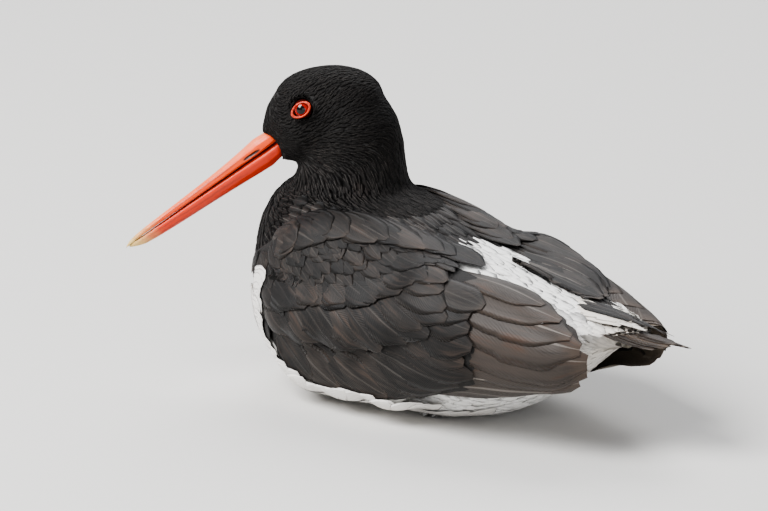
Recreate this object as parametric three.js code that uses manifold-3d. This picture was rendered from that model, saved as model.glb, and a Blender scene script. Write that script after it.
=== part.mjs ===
// A Eurasian oystercatcher at rest on its belly, head turned to its left, life size, in millimetres.
// +Z is up and the bird faces -X, so its left side is -Y. The origin is the middle of the flat
// under its belly, on the floor.
import * as THREE from "three";
import { mergeVertices } from "three/addons/utils/BufferGeometryUtils.js";
import Module from "manifold-3d";

const wasm = await Module();
wasm.setup();

// Driving dimensions
const GAP = 0.3; // kept between touching pieces
const BREAST_X = -90; // foremost point of the breast
const COVERTS_END_X = 122; // where the coverts over and under the tail end
const NECK_CUT_Z = 96; // the neck stands on the body at this height
const HEAD_CUT = { front: 97, back: 119 }; // heights of the tilted cut between neck and head
const HEAD_TURN = 42; // degrees the head is turned to the bird's left
const HEAD_CENTRE = new THREE.Vector3(-55, -3.2, 121);
const BILL_PITCH = 36; // degrees the bill points below level
const BILL_LENGTH = 80;
const BILL_BASE = { forward: 28.9, up: -14 }; // from the head's centre
const EYE = { back: -23.4, turn: 18, radius: 4.3, proud: 0.6 }; // turn is up from the head's side
const EYE_RING = { radius: 4.1, thick: 0.75, tall: 0.88, proud: 0.25 };
const WING_FRONT_X = -78;
const TAIL_LENGTH = 50; // from the rectrices' roots to their tips
const VANE_THICKNESS = 0.75;
const SIDES = { left: -1, right: 1 }; // the sign of y on each side

const radians = THREE.MathUtils.degToRad;
const lerp = THREE.MathUtils.lerp;

// How finely each round form is split, along it and around it
const NETS = {
  torso: [30, 26],
  room: [32, 26],
  neck: [14, 22],
  head: [20, 22],
  bill: [16, 12],
  eye: [14, 10],
  ring: [6, 18],
  pad: [15, 7],
};

// Solids

// A closed three.js mesh as a solid, turned face out.
function solid(geometry) {
  const bare = geometry.clone();
  bare.deleteAttribute("normal");
  bare.deleteAttribute("uv");
  const merged = mergeVertices(bare, 1e-3);
  const triVerts = new Uint32Array(merged.index.array);
  const vertProperties = merged.getAttribute("position").array;
  const made = new wasm.Manifold(new wasm.Mesh({ numProp: 3, vertProperties, triVerts }));
  if (made.volume() > 0) return made;
  for (let i = 0; i < triVerts.length; i += 3) triVerts.subarray(i, i + 2).reverse();
  return new wasm.Manifold(new wasm.Mesh({ numProp: 3, vertProperties, triVerts }));
}

// The largest closed body of a solid, without loose scraps.
function largest(made) {
  return made.decompose().reduce((a, b) => (b.volume() > a.volume() ? b : a));
}

function fuse(pieces) {
  return wasm.Manifold.union(pieces);
}

function meshOf(name, made, material) {
  const { vertProperties, triVerts } = largest(made).getMesh();
  const geometry = new THREE.BufferGeometry();
  geometry.setAttribute("position", new THREE.BufferAttribute(vertProperties, 3));
  geometry.setIndex(new THREE.BufferAttribute(triVerts, 1));
  geometry.computeVertexNormals();
  const mesh = new THREE.Mesh(geometry, material);
  mesh.name = name;
  return mesh;
}

// Smooth sizes along a form

// One size at a place along a list of stations, each with `at`, smooth through them all.
function sizeAt(stations, key, at) {
  const last = stations.length - 1;
  let i = 0;
  while (i < last - 1 && stations[i + 1].at < at) i++;
  const slope = (k) => {
    const a = stations[Math.max(k - 1, 0)];
    const b = stations[Math.min(k + 1, last)];
    return (b[key] - a[key]) / (b.at - a.at);
  };
  const [a, b] = [stations[i], stations[i + 1]];
  const span = b.at - a.at;
  const t = THREE.MathUtils.clamp((at - a.at) / span, 0, 1);
  const [t2, t3] = [t * t, t * t * t];
  return (
    a[key] * (2 * t3 - 3 * t2 + 1) +
    b[key] * (3 * t2 - 2 * t3) +
    span * (slope(i) * (t3 - 2 * t2 + t) + slope(i + 1) * (t3 - t2))
  );
}

// Stations given by their place x, with `at` worked out so that both ends come out round.
function roundEnded(stations) {
  const [first, end] = [stations[0].x, stations[stations.length - 1].x];
  const share = (x) => Math.acos(1 - (2 * (x - first)) / (end - first)) / Math.PI;
  return stations.map((s) => ({ ...s, at: share(s.x) }));
}

function shareOf(stations, x) {
  const [first, end] = [stations[0].x, stations[stations.length - 1].x];
  const along = THREE.MathUtils.clamp((x - first) / (end - first), 0, 1);
  return Math.acos(1 - 2 * along) / Math.PI;
}

// A point of a rounded section: turn 0 is the left side, 90 degrees is the top.
function sectionPoint(s, turn, squareness) {
  const power = 2 / squareness;
  const [c, w] = [Math.cos(turn), Math.sin(turn)];
  const across = Math.sign(c) * Math.abs(c) ** power * s.half;
  const rise = Math.sign(w) * Math.abs(w) ** power * (w > 0 ? s.up : s.down);
  return { across, rise };
}

// The way out of a surface that is given by its points at a place x and a turn round x.
function outOf(atX, x, turn) {
  const step = 1e-2;
  const alongX = atX(x + 0.5, turn).sub(atX(x - 0.5, turn));
  const round = atX(x, turn + step).sub(atX(x, turn - step));
  return alongX.cross(round).normalize();
}

// A form along x: stations give the height of its widest level, half width, and rise and drop.
function form(stations, squareness) {
  const round = roundEnded(stations);
  const point = (share, turn) => {
    const s = {
      half: Math.max(sizeAt(round, "half", share), 0),
      up: Math.max(sizeAt(round, "up", share), 0),
      down: Math.max(sizeAt(round, "down", share), 0),
    };
    const { across, rise } = sectionPoint(s, turn, squareness);
    return new THREE.Vector3(sizeAt(round, "x", share), -across, sizeAt(round, "level", share) + rise);
  };
  const atX = (x, turn) => point(shareOf(stations, x), turn);
  return { point, atX, normal: (x, turn) => outOf(atX, x, turn) };
}

// Stations grown outward all round, for the room that a neighbour needs.
function grown(stations, extra) {
  const last = stations.length - 1;
  return stations.map((s, i) => ({
    ...s,
    x: s.x + extra * (i === 0 ? -1 : Number(i === last)),
    half: s.half + extra,
    up: s.up + extra,
    down: s.down + extra,
  }));
}

// A sphere's net with its poles at the two ends, each vertex moved by place(share, turn).
function netOver(place, along, around) {
  const net = new THREE.SphereGeometry(1, around, along);
  const at = net.getAttribute("position");
  const v = new THREE.Vector3();
  for (let i = 0; i < at.count; i++) {
    v.fromBufferAttribute(at, i);
    const share = Math.acos(THREE.MathUtils.clamp(v.y, -1, 1)) / Math.PI;
    const turn = Math.hypot(v.x, v.z) < 1e-6 ? 0 : Math.atan2(v.z, v.x);
    const p = place(share, turn);
    at.setXYZ(i, p.x, p.y, p.z);
  }
  return net;
}

// A closed slab of quads, split alike on both faces: place(i share, j share -1..1, face -1 or 1).
function slab(place, along, across) {
  const positions = [];
  const index = [];
  const row = across + 1;
  const layer = (along + 1) * row;
  for (const face of [1, -1])
    for (let i = 0; i <= along; i++)
      for (let j = 0; j <= across; j++)
        positions.push(...place(i / along, (2 * j) / across - 1, face).toArray());
  const quad = (a, b, c, d) => index.push(a, b, c, a, c, d);
  for (let i = 0; i < along; i++)
    for (let j = 0; j < across; j++) {
      const a = i * row + j;
      quad(a, a + row, a + row + 1, a + 1);
      index.push(layer + a, layer + a + row + 1, layer + a + row);
      index.push(layer + a, layer + a + 1, layer + a + row + 1);
    }
  for (let i = 0; i < along; i++) {
    const left = i * row;
    const right = left + across;
    quad(left, layer + left, layer + left + row, left + row);
    quad(right, right + row, layer + right + row, layer + right);
  }
  for (let j = 0; j < across; j++) {
    const root = j;
    const tip = along * row + j;
    quad(root, root + 1, layer + root + 1, layer + root);
    quad(tip, layer + tip, layer + tip + 1, tip + 1);
  }
  const geometry = new THREE.BufferGeometry();
  geometry.setAttribute("position", new THREE.Float32BufferAttribute(positions, 3));
  geometry.setIndex(index);
  return geometry;
}

// Body, neck and head

const TORSO = [
  { x: BREAST_X, level: 54, half: 0, up: 0, down: 0 },
  { x: -86, level: 54, half: 21, up: 28, down: 33 },
  { x: -76, level: 50, half: 34, up: 42, down: 41 },
  { x: -60, level: 46, half: 43.5, up: 50.5, down: 49 },
  { x: -38, level: 43, half: 49, up: 52.5, down: 50 },
  { x: -12, level: 42, half: 50, up: 47, down: 46 },
  { x: 20, level: 42, half: 47.5, up: 36, down: 45 },
  { x: 50, level: 43, half: 41, up: 28, down: 39.5 },
  { x: 75, level: 46, half: 32, up: 18.5, down: 28.5 },
  { x: 95, level: 50, half: 22, up: 10.5, down: 16 },
  { x: 110, level: 52, half: 13.5, up: 5.5, down: 7 },
  { x: COVERTS_END_X, level: 52, half: 0, up: 0, down: 0 },
];
const TORSO_SQUARENESS = 2.25;
const torsoForm = form(TORSO, TORSO_SQUARENESS);

const NECK = [
  { z: 45, x: -42, y: 0, ahead: 0, side: 0 },
  { z: 60, x: -44, y: 0, ahead: 33, side: 31 },
  { z: 78, x: -47, y: 0, ahead: 35, side: 31 },
  { z: 90, x: -48, y: 0.5, ahead: 28, side: 26 },
  { z: 100, x: -47.5, y: 1.5, ahead: 24.5, side: 22 },
  { z: 112, x: -48.5, y: 2.5, ahead: 23, side: 19.5 },
  { z: 124, x: -49.5, y: 1.5, ahead: 20.5, side: 17.5 },
  { z: 133, x: -51, y: 0, ahead: 14, side: 13 },
  { z: 138, x: -53, y: -2, ahead: 0, side: 0 },
];

// The neck stands up from the body, its sections level, turning with the head as they rise.
function neckNet() {
  const rising = roundEnded(NECK.map((s) => ({ ...s, height: s.x, x: s.z })));
  return netOver(
    (share, turn) => {
      const z = sizeAt(rising, "z", share);
      const ahead = Math.max(sizeAt(rising, "ahead", share), 0);
      const side = Math.max(sizeAt(rising, "side", share), 0);
      const twist = radians(HEAD_TURN) * THREE.MathUtils.smoothstep(z, 80, 118);
      const [a, b] = [-Math.cos(turn) * ahead, -Math.sin(turn) * side];
      return new THREE.Vector3(
        sizeAt(rising, "height", share) + a * Math.cos(twist) - b * Math.sin(twist),
        sizeAt(rising, "y", share) + a * Math.sin(twist) + b * Math.cos(twist),
        z,
      );
    },
    ...NETS.neck,
  );
}

// The head's own frame at the bill's base: x runs out along the bill, z up from it, y to the left.
const headFrame = new THREE.Matrix4();
{
  const yaw = radians(HEAD_TURN);
  const ahead = new THREE.Vector3(-Math.cos(yaw), -Math.sin(yaw), 0);
  const left = new THREE.Vector3(Math.sin(yaw), -Math.cos(yaw), 0);
  const up = new THREE.Vector3(0, 0, 1);
  const base = HEAD_CENTRE.clone()
    .addScaledVector(ahead, BILL_BASE.forward)
    .addScaledVector(up, BILL_BASE.up);
  const pitched = new THREE.Matrix4().makeRotationY(radians(BILL_PITCH));
  headFrame.makeBasis(ahead, left, up).setPosition(base).multiply(pitched);
}

const HEAD = [
  { x: -58, level: -5, half: 0, up: 0, down: 0 },
  { x: -54, level: -5, half: 10, up: 9.5, down: 10 },
  { x: -46, level: -3, half: 15.5, up: 16, down: 16 },
  { x: -35, level: 0, half: 17, up: 19.2, down: 20 },
  { x: -24, level: 1, half: 16.5, up: 20.6, down: 20 },
  { x: -14, level: 1, half: 14, up: 17.5, down: 17.5 },
  { x: -6, level: 0, half: 10.6, up: 12.6, down: 12.6 },
  { x: 0, level: -0.5, half: 7.6, up: 7.4, down: 8 },
  { x: 3, level: -0.5, half: 0, up: 0, down: 0 },
];

function inHead(geometry) {
  return geometry.applyMatrix4(headFrame);
}

const HEAD_SQUARENESS = 2.15;
const headForm = form(HEAD, HEAD_SQUARENESS);

// Where an eye sits: a turned frame on the side of the head, its z pointing out.
function onEye(side, geometry, depth) {
  const turn = side < 0 ? Math.PI - radians(EYE.turn) : radians(EYE.turn);
  const out = headForm.normal(EYE.back, turn);
  const spot = headForm.atX(EYE.back, turn).addScaledVector(out, -depth);
  const facing = new THREE.Quaternion().setFromUnitVectors(new THREE.Vector3(0, 0, 1), out);
  geometry.applyQuaternion(facing);
  return inHead(geometry.translate(spot.x, spot.y, spot.z));
}

function eyeBall(side, extra) {
  const ball = new THREE.SphereGeometry(EYE.radius + extra, ...NETS.eye);
  return solid(onEye(side, ball, EYE.radius - EYE.proud));
}

// The bare ring of lid round the eye, lying on the side of the head.
function eyeRing(side, extra) {
  const ring = new THREE.TorusGeometry(EYE_RING.radius, EYE_RING.thick + extra, ...NETS.ring);
  ring.scale(1, EYE_RING.tall, 1);
  return solid(onEye(side, ring, -EYE_RING.proud));
}

// Bill

const UPPER_BILL = [
  { x: -9, level: 2, half: 0, up: 0, down: 0 },
  { x: -5, level: 2, half: 4.4, up: 3.2, down: 1.8 },
  { x: 3, level: 1.6, half: 5.6, up: 5, down: 1.45 },
  { x: 14, level: 1.3, half: 4.3, up: 4, down: 1.15 },
  { x: 32, level: 1, half: 3.1, up: 2.9, down: 0.85 },
  { x: 52, level: 0.9, half: 2.3, up: 2.1, down: 0.75 },
  { x: 68, level: 0.8, half: 1.6, up: 1.5, down: 0.65 },
  { x: 76, level: 0.5, half: 1.2, up: 1, down: 0.5 },
  { x: BILL_LENGTH, level: -0.2, half: 0, up: 0, down: 0 },
];
const LOWER_BILL = [
  { x: -9, level: -2, half: 0, up: 0, down: 0 },
  { x: -5, level: -2, half: 4.2, up: 1.6, down: 4 },
  { x: 3, level: -2, half: 5.3, up: 1.8, down: 6.1 },
  { x: 14, level: -1.9, half: 4.1, up: 1.7, down: 5.6 },
  { x: 32, level: -1.7, half: 3, up: 1.5, down: 4.7 },
  { x: 52, level: -1.5, half: 2.3, up: 1.3, down: 3.9 },
  { x: 68, level: -1.3, half: 1.6, up: 1.1, down: 3 },
  { x: 75, level: -1.2, half: 1.2, up: 0.9, down: 1.9 },
  { x: BILL_LENGTH - 1.5, level: -1.5, half: 0, up: 0, down: 0 },
];
const BILL_SQUARENESS = 2.2;
// The slit's depth is half its width across the bill, and it narrows with the bill by its splay.
const NOSTRIL = { from: 3.6, to: 12.8, up: 2, height: 1.2, depth: 1.2, side: 5.7, splay: 6 };

function billNet(stations, extra) {
  const shape = form(grown(stations, extra), BILL_SQUARENESS);
  return solid(inHead(netOver(shape.point, ...NETS.bill)));
}

// The long slit that opens on both sides of the upper mandible.
function nostrilCut() {
  const slit = new THREE.SphereGeometry(1, 14, 8);
  slit.scale((NOSTRIL.to - NOSTRIL.from) / 2, NOSTRIL.depth, NOSTRIL.height / 2);
  const middle = (NOSTRIL.from + NOSTRIL.to) / 2;
  return [1, -1].map((side) => {
    const cut = slit.clone().rotateZ(-side * radians(NOSTRIL.splay));
    return solid(inHead(cut.translate(middle, side * NOSTRIL.side, NOSTRIL.up)));
  });
}

// Legs, folded flat under the belly

const LEG = { heelX: 17, heelSide: 17, footX: -29, footSide: 13, radius: 2.7, flat: 0.35 };
const SHANK = { ahead: 28, rise: 12, heelRise: 0.4 }; // the drumstick's end runs up into the body
const TOE = { radius: 2.2, slope: 0.55, tipShare: 0.62 };
const TOES = [
  { reach: 28, spread: -17 },
  { reach: 33, spread: 0 },
  { reach: 26, spread: 17 },
];

// A tapering limb lying on the floor between two points, its underside flat on it.
function limb(from, to, radiusFrom, radiusTo) {
  const bone = new THREE.CapsuleGeometry(1, 1, 2, 8, 1);
  const at = bone.getAttribute("position");
  const along = new THREE.Vector3().subVectors(to, from);
  const length = along.length();
  const side = new THREE.Vector3(-along.y, along.x, 0).divideScalar(length);
  for (let i = 0; i < at.count; i++) {
    const share = THREE.MathUtils.clamp(at.getY(i) + 0.5, 0, 1);
    const cap = at.getY(i) + 0.5 - share;
    const radius = lerp(radiusFrom, radiusTo, share);
    const p = from.clone().addScaledVector(along, share + (cap * radius) / length);
    p.addScaledVector(side, at.getX(i) * radius);
    at.setXYZ(i, p.x, p.y, p.z + at.getZ(i) * radius);
  }
  return solid(bone);
}

function toes(foot, side, extra) {
  return TOES.map(({ reach, spread }) => {
    const turn = radians(spread);
    const root = foot.clone().setZ(TOE.radius - LEG.flat);
    const tip = root.clone();
    tip.x -= Math.cos(turn) * reach;
    tip.y += Math.sin(turn) * reach * side;
    tip.z -= TOE.slope;
    return limb(root, tip, TOE.radius + extra, TOE.radius * TOE.tipShare + extra);
  });
}

function legSolid(side, extra) {
  const lift = LEG.radius - LEG.flat;
  const heel = new THREE.Vector3(LEG.heelX, side * LEG.heelSide, lift + SHANK.heelRise);
  const foot = new THREE.Vector3(LEG.footX, side * LEG.footSide, lift);
  const knee = heel.clone().add(new THREE.Vector3(-SHANK.ahead, 0, SHANK.rise - SHANK.heelRise));
  return fuse([
    limb(heel, foot, LEG.radius + 0.5 + extra, LEG.radius + extra),
    limb(heel, knee, LEG.radius + 0.6 + extra, LEG.radius + 1.2 + extra),
    ...toes(foot, side, extra),
  ]);
}

// Everything under the floor is taken off, which leaves flats at one level.
function onFloor(made) {
  return made.trimByPlane([0, 0, 1], 0);
}

// Wings: the outside of each folded wing. It follows the body in front and stands free behind.

const WING_SPREAD = {
  left: [
    { x: -91, level: 49, half: 0, up: 0, down: 0 },
    { x: -60, level: 45, half: 49, up: 47, down: 46 },
    { x: -10, level: 43, half: 57.5, up: 46, down: 43 },
    { x: 30, level: 43, half: 56, up: 40.5, down: 41 },
    { x: 70, level: 44, half: 50, up: 31, down: 33 },
    { x: 100, level: 45, half: 43, up: 23, down: 26 },
    { x: 122, level: 46, half: 37, up: 16, down: 19 },
    { x: 160, level: 47, half: 0, up: 0, down: 0 },
  ],
  right: [
    { x: -91, level: 49, half: 0, up: 0, down: 0 },
    { x: -60, level: 45, half: 49, up: 47, down: 46 },
    { x: -10, level: 43, half: 57.5, up: 47, down: 43 },
    { x: 30, level: 43, half: 56, up: 41.5, down: 41 },
    { x: 50, level: 43, half: 52.5, up: 35.5, down: 36 },
    { x: 72, level: 43, half: 47, up: 27.5, down: 31 },
    { x: 90, level: 43, half: 40.5, up: 20.5, down: 25 },
    { x: 108, level: 43, half: 33.5, up: 14, down: 19 },
    { x: 124, level: 44, half: 27, up: 9, down: 13 },
    { x: 150, level: 45, half: 0, up: 0, down: 0 },
  ],
};
const WING_SQUARENESS = 2.3;
const WING_FREE = { from: 5, to: 60 }; // where along x the wing leaves the body's side
// The wing's depth over the body, in even steps from its front to where it is free.
const WING_DEPTH = [2.6, 5.2, 6.6, 7.4, 7.6];
const FULL_DEPTH = 7;
// How far round the body the wing reaches, in degrees, in even steps from front to back.
const WING_EDGES = { low: [-22, -50, -51, -40, -30], high: [30, 54, 66, 62, 50] };
const WING_CLEAR = 0.95; // from the body to the wing
const PAD = { to: 86, deep: 0.44, shell: 2.6, sunk: 4.2 };

// A value that runs smoothly through a few even steps.
function through(steps, share) {
  const curve = new THREE.SplineCurve(steps.map((v, i) => new THREE.Vector2(i, v)));
  return curve.getPoint(THREE.MathUtils.clamp(share, 0, 1)).y;
}

function wingDepth(x) {
  return through(WING_DEPTH, (x - WING_FRONT_X) / (WING_FREE.to - WING_FRONT_X));
}

function freedom(x) {
  return THREE.MathUtils.smoothstep(x, WING_FREE.from, WING_FREE.to);
}

function wingSurface(name) {
  const spread = form(WING_SPREAD[name], WING_SQUARENESS);
  const atX = (x, turn) => {
    const near = torsoForm.atX(x, turn);
    near.addScaledVector(torsoForm.normal(x, turn), wingDepth(x));
    return near.lerp(spread.atX(x, turn), freedom(x));
  };
  return { atX, normal: (x, turn) => outOf(atX, x, turn) };
}

// The wing's arm with its small coverts: a curved pad, thin at its edges.
function wingPad(surface) {
  const place = (share, across, face) => {
    const x = lerp(WING_FRONT_X, PAD.to, share);
    const low = through(WING_EDGES.low, share);
    const high = through(WING_EDGES.high, share);
    const turn = radians(lerp(low, high, (across + 1) / 2));
    const edge = 1 - Math.max(Math.abs(across), Math.abs(2 * share - 1)) ** 4;
    const plump = lerp(0.5, 1, edge);
    const body = torsoForm.atX(x, turn);
    const bodyOut = torsoForm.normal(x, turn);
    const depth = face < 0 ? WING_CLEAR : WING_CLEAR + PAD.deep * wingDepth(x) * plump;
    body.addScaledVector(bodyOut, depth);
    const free = surface.atX(x, turn);
    const under = face < 0 ? PAD.sunk + PAD.shell * plump : PAD.sunk;
    free.addScaledVector(surface.normal(x, turn), -under);
    return body.lerp(free, freedom(x));
  };
  return solid(slab(place, ...NETS.pad));
}

// The outline of a vane: its half width along its length, as a share of the widest.
const VANE_OUTLINE = [
  { at: 0, wide: 0.4 },
  { at: 0.35, wide: 0.8 },
  { at: 0.7, wide: 1 },
  { at: 0.92, wide: 0.75 },
  { at: 1, wide: 0.2 },
];
const VANE_ROUNDING = 110; // the sides of a vane bend down by the square of their reach over this

// One vane. line(share) gives its middle and the way it faces, rise(share) its height there.
function vane(line, rise, width, tilt) {
  const place = (share, across, face) => {
    const { at, wide } = VANE_OUTLINE[Math.round(share * (VANE_OUTLINE.length - 1))];
    const { middle, up } = line(at);
    const along = line(at + 0.02).middle.sub(line(at - 0.02).middle).normalize();
    const side = new THREE.Vector3().crossVectors(up, along);
    const reach = (across * wide * width) / 2;
    const bend = tilt * reach + (reach * reach) / VANE_ROUNDING;
    const thin = VANE_THICKNESS * lerp(1, 0.7, at);
    const height = rise(at) - bend + (face * thin) / 2;
    return middle.addScaledVector(side, reach).addScaledVector(up, height);
  };
  return solid(slab(place, VANE_OUTLINE.length - 1, 2));
}

// A row of feathers between its top and its lowest one, even but for a slight unevenness.
function tier({ count, root, tip, width, lift, sink, tilt, surface, trim }) {
  const rows = [];
  for (let k = 0; k < count; k++) {
    const share = k / (count - 1);
    const uneven = 1.5 * Math.sin(k * 7.3 + width);
    const from = { x: through(root.x, share), turn: through(root.turn, share) };
    const to = { x: trim(through(tip.x, share) + uneven), turn: through(tip.turn, share) };
    const xAt = (at) => lerp(from.x, to.x, at);
    const line = (at) => {
      const turn = radians(lerp(from.turn, to.turn, at));
      return { middle: surface.atX(xAt(at), turn), up: surface.normal(xAt(at), turn) };
    };
    const rise = (at) => (lift - sink * (1 - at) ** 3) * (wingDepth(xAt(at)) / FULL_DEPTH);
    rows.push(vane(line, rise, width, tilt));
  }
  return rows;
}

// The tiers of the folded wing. Roots and tips run from the top feather to the lowest:
// x in mm, and turn round the body in degrees.
const TIERS = [
  {
    count: 10,
    root: { x: [42, 48, 50, 48, 42], turn: [60, 34, 5, -20, -35] },
    tip: { x: [86, 110, 118, 113, 92], turn: [57, 34, 4, -22, -39] },
    width: 18.5,
    lift: -1,
    sink: 4.2,
    tilt: 0.15,
  },
  {
    count: 8,
    root: { x: [30, 28, 10, -22, -56], turn: [36, 14, -8, -16, -14] },
    tip: { x: [60, 66, 56, 19, -27], turn: [31, 2, -27, -40, -38] },
    width: 17,
    lift: 0.9,
    sink: 4.4,
    tilt: 0.13,
  },
  {
    count: 7,
    root: { x: [18, 14, -8, -34, -58], turn: [46, 26, 14, 12, 12] },
    tip: { x: [45, 47, 25, -8, -38], turn: [39, 14, -5, -8, -8] },
    width: 18,
    lift: 1.9,
    sink: 6,
    tilt: 0.12,
  },
];
const FREE_SHARE = { left: 1, right: 0.8 }; // of the flight feathers' length past the pad

function wing(side, name) {
  const surface = wingSurface(name);
  const trim = (x) => (x < PAD.to ? x : lerp(PAD.to, x, FREE_SHARE[name]));
  const vanes = TIERS.flatMap((row) => tier({ ...row, surface, trim }));
  const left = fuse([wingPad(surface), ...vanes]);
  return side < 0 ? left : left.mirror([0, 1, 0]);
}

// Tail: rectrices fanned on the body's end, the middle pair on top

// The fan is rolled, its left side up, by this share of the way across.
const FAN_ROLL = 0.15;
const FAN = { count: 10, rootX: 92, rootZ: 56, tipZ: 51.5, rootHalf: 6, tipHalf: 11, drop: 0.7 };
const RECTRIX = { width: 13, tilt: 0.08, shorter: 0.5 }; // each pair is shorter than the one above

function rectrices() {
  const feathers = [];
  for (let k = 0; k < FAN.count; k++) {
    const place = (2 * k) / (FAN.count - 1) - 1;
    const side = Math.sign(place);
    const step = Math.abs(k - (FAN.count - 1) / 2) - 0.5;
    const down = FAN.drop * step + (side < 0 ? 0 : FAN.drop / 2);
    const up = new THREE.Vector3(0, 0, 1);
    const length = TAIL_LENGTH - RECTRIX.shorter * step;
    const line = (at) => {
      const y = place * lerp(FAN.rootHalf, FAN.tipHalf, at);
      const z = lerp(FAN.rootZ, FAN.tipZ, at) - down * lerp(0.8, 1, at) - FAN_ROLL * y;
      return { middle: new THREE.Vector3(FAN.rootX + length * at, y, z), up };
    };
    feathers.push(vane(line, () => 0, RECTRIX.width, side * RECTRIX.tilt));
  }
  return feathers;
}

function tail() {
  const room = form(grown(TORSO, 2 * GAP), TORSO_SQUARENESS);
  return fuse(rectrices()).subtract(solid(netOver(room.point, ...NETS.room)));
}

// Flesh: body, neck and head as one, then parted by flat cuts

const LEG_ROOM = GAP + 0.1;
const HEAD_CUT_REACH = { front: 15, back: -30 }; // ahead of the head's centre

function wholeFlesh() {
  return fuse([
    solid(netOver(torsoForm.point, ...NETS.torso)),
    solid(neckNet()),
    solid(inHead(netOver(headForm.point, ...NETS.head))),
  ]);
}

// The plane from the throat up to the nape: its upward normal and its distance from the origin.
function headCut() {
  const yaw = radians(HEAD_TURN);
  const ahead = new THREE.Vector3(-Math.cos(yaw), -Math.sin(yaw), 0);
  const onCut = (reach, z) => HEAD_CENTRE.clone().addScaledVector(ahead, reach).setZ(z);
  const throat = onCut(HEAD_CUT_REACH.front, HEAD_CUT.front);
  const nape = onCut(HEAD_CUT_REACH.back, HEAD_CUT.back);
  const across = new THREE.Vector3().crossVectors(ahead, new THREE.Vector3(0, 0, 1));
  const up = new THREE.Vector3().crossVectors(throat.clone().sub(nape), across).normalize();
  if (up.z < 0) up.negate();
  return { up, at: up.dot(throat) };
}

function partedFlesh() {
  const [aboveBody, body] = wholeFlesh().splitByPlane([0, 0, 1], NECK_CUT_Z);
  const { up, at } = headCut();
  const head = aboveBody.trimByPlane(up.toArray(), at + GAP / 2);
  const neck = aboveBody.trimByPlane(up.clone().negate().toArray(), GAP / 2 - at);
  const torso = onFloor(body.trimByPlane([0, 0, -1], GAP - NECK_CUT_Z));
  return { torso, neck, head };
}

// The head with room for the bill and for both eyes with their rings.
function openHead(head) {
  const rooms = [billNet(UPPER_BILL, GAP), billNet(LOWER_BILL, GAP)];
  for (const side of Object.values(SIDES)) rooms.push(eyeBall(side, GAP), eyeRing(side, GAP));
  return rooms.reduce((left, room) => left.subtract(room), head);
}

function upperBill() {
  return nostrilCut().reduce((left, cut) => left.subtract(cut), billNet(UPPER_BILL, 0));
}

// Output

const paint = (color, roughness) =>
  new THREE.MeshStandardMaterial({ color, roughness, metalness: 0 });
const MATERIALS = {
  dark: paint(0x26231f, 0.8),
  wing: paint(0x3a332d, 0.75),
  bill: paint(0xe2532a, 0.4),
  ring: paint(0xe5471c, 0.5),
  eye: paint(0x8c1208, 0.1),
  leg: paint(0xd98a84, 0.6),
};

function addSide(bird, side, name) {
  bird.add(meshOf("eye_" + name, eyeBall(side, 0), MATERIALS.eye));
  bird.add(meshOf("eye_ring_" + name, eyeRing(side, 0), MATERIALS.ring));
  bird.add(meshOf("leg_" + name, onFloor(legSolid(side, 0)), MATERIALS.leg));
  bird.add(meshOf("wing_" + name, wing(side, name), MATERIALS.wing));
}

function wholeBird() {
  const bird = new THREE.Group();
  const { torso, neck, head } = partedFlesh();
  const legs = Object.values(SIDES).map((side) => legSolid(side, LEG_ROOM));
  for (const [name, side] of Object.entries(SIDES)) addSide(bird, side, name);
  bird.add(meshOf("torso", torso.subtract(fuse(legs)), MATERIALS.dark));
  bird.add(meshOf("neck", neck, MATERIALS.dark));
  bird.add(meshOf("head", openHead(head), MATERIALS.dark));
  bird.add(meshOf("tail", tail(), MATERIALS.dark));
  bird.add(meshOf("bill_upper", upperBill(), MATERIALS.bill));
  bird.add(meshOf("bill_lower", billNet(LOWER_BILL, 0), MATERIALS.bill));
  return bird;
}

export default wholeBird();
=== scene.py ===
"""A Eurasian oystercatcher resting on its belly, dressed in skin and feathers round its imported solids."""

import logging
import math
from collections.abc import Callable
from dataclasses import dataclass, field
from enum import Enum

import bmesh
import bpy
import numpy as np
from mathutils import Matrix, Vector
from mathutils.bvhtree import BVHTree


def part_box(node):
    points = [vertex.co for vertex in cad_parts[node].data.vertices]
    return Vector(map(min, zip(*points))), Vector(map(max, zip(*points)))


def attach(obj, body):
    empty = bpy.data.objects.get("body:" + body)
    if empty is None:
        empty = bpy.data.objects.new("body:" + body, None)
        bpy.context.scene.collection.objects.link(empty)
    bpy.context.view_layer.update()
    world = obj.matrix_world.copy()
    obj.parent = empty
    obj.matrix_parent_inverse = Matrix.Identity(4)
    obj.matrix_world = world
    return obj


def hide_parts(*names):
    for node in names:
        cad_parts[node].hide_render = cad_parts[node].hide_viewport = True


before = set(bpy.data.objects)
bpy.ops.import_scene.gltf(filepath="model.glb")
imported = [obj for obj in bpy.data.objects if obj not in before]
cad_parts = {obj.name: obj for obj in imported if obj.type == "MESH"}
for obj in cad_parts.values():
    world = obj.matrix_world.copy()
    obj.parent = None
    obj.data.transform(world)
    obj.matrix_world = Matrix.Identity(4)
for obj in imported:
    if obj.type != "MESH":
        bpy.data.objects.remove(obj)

LOG = logging.getLogger("oystercatcher")
Array = np.ndarray
Colour = tuple[float, float, float, float]
MM = 0.001
HEAD_TURN = math.radians(42)
BILL_PITCH = math.radians(36)
HEAD_AHEAD = np.array([-math.cos(HEAD_TURN), -math.sin(HEAD_TURN), 0])  # level, where the head looks
HEAD_CENTRE = np.array([-55, -3.2, 121]) * MM
BILL_BASE = (28.9 * MM, -14 * MM)  # ahead of and above the head's centre
BODY_LEVEL = 44 * MM  # height of the body's long axis
BODY_SPAN = (-0.095, 0.245)  # x where the bake map's body starts, and its length
HEAD_SPAN = (0.09, 0.06)  # height where the bake map's neck and head start, and their own height
BAKE_PATCH = 0.003  # a feather's share of the bake map
FLOOR_GAP = 0.1  # the least height of a feather over the floor, in millimetres
SPLITS = 3  # how often a vane's edge may be split
RIDGE_WIDTH = 0.12  # the shaft's ridge, as a share of the half width
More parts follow.
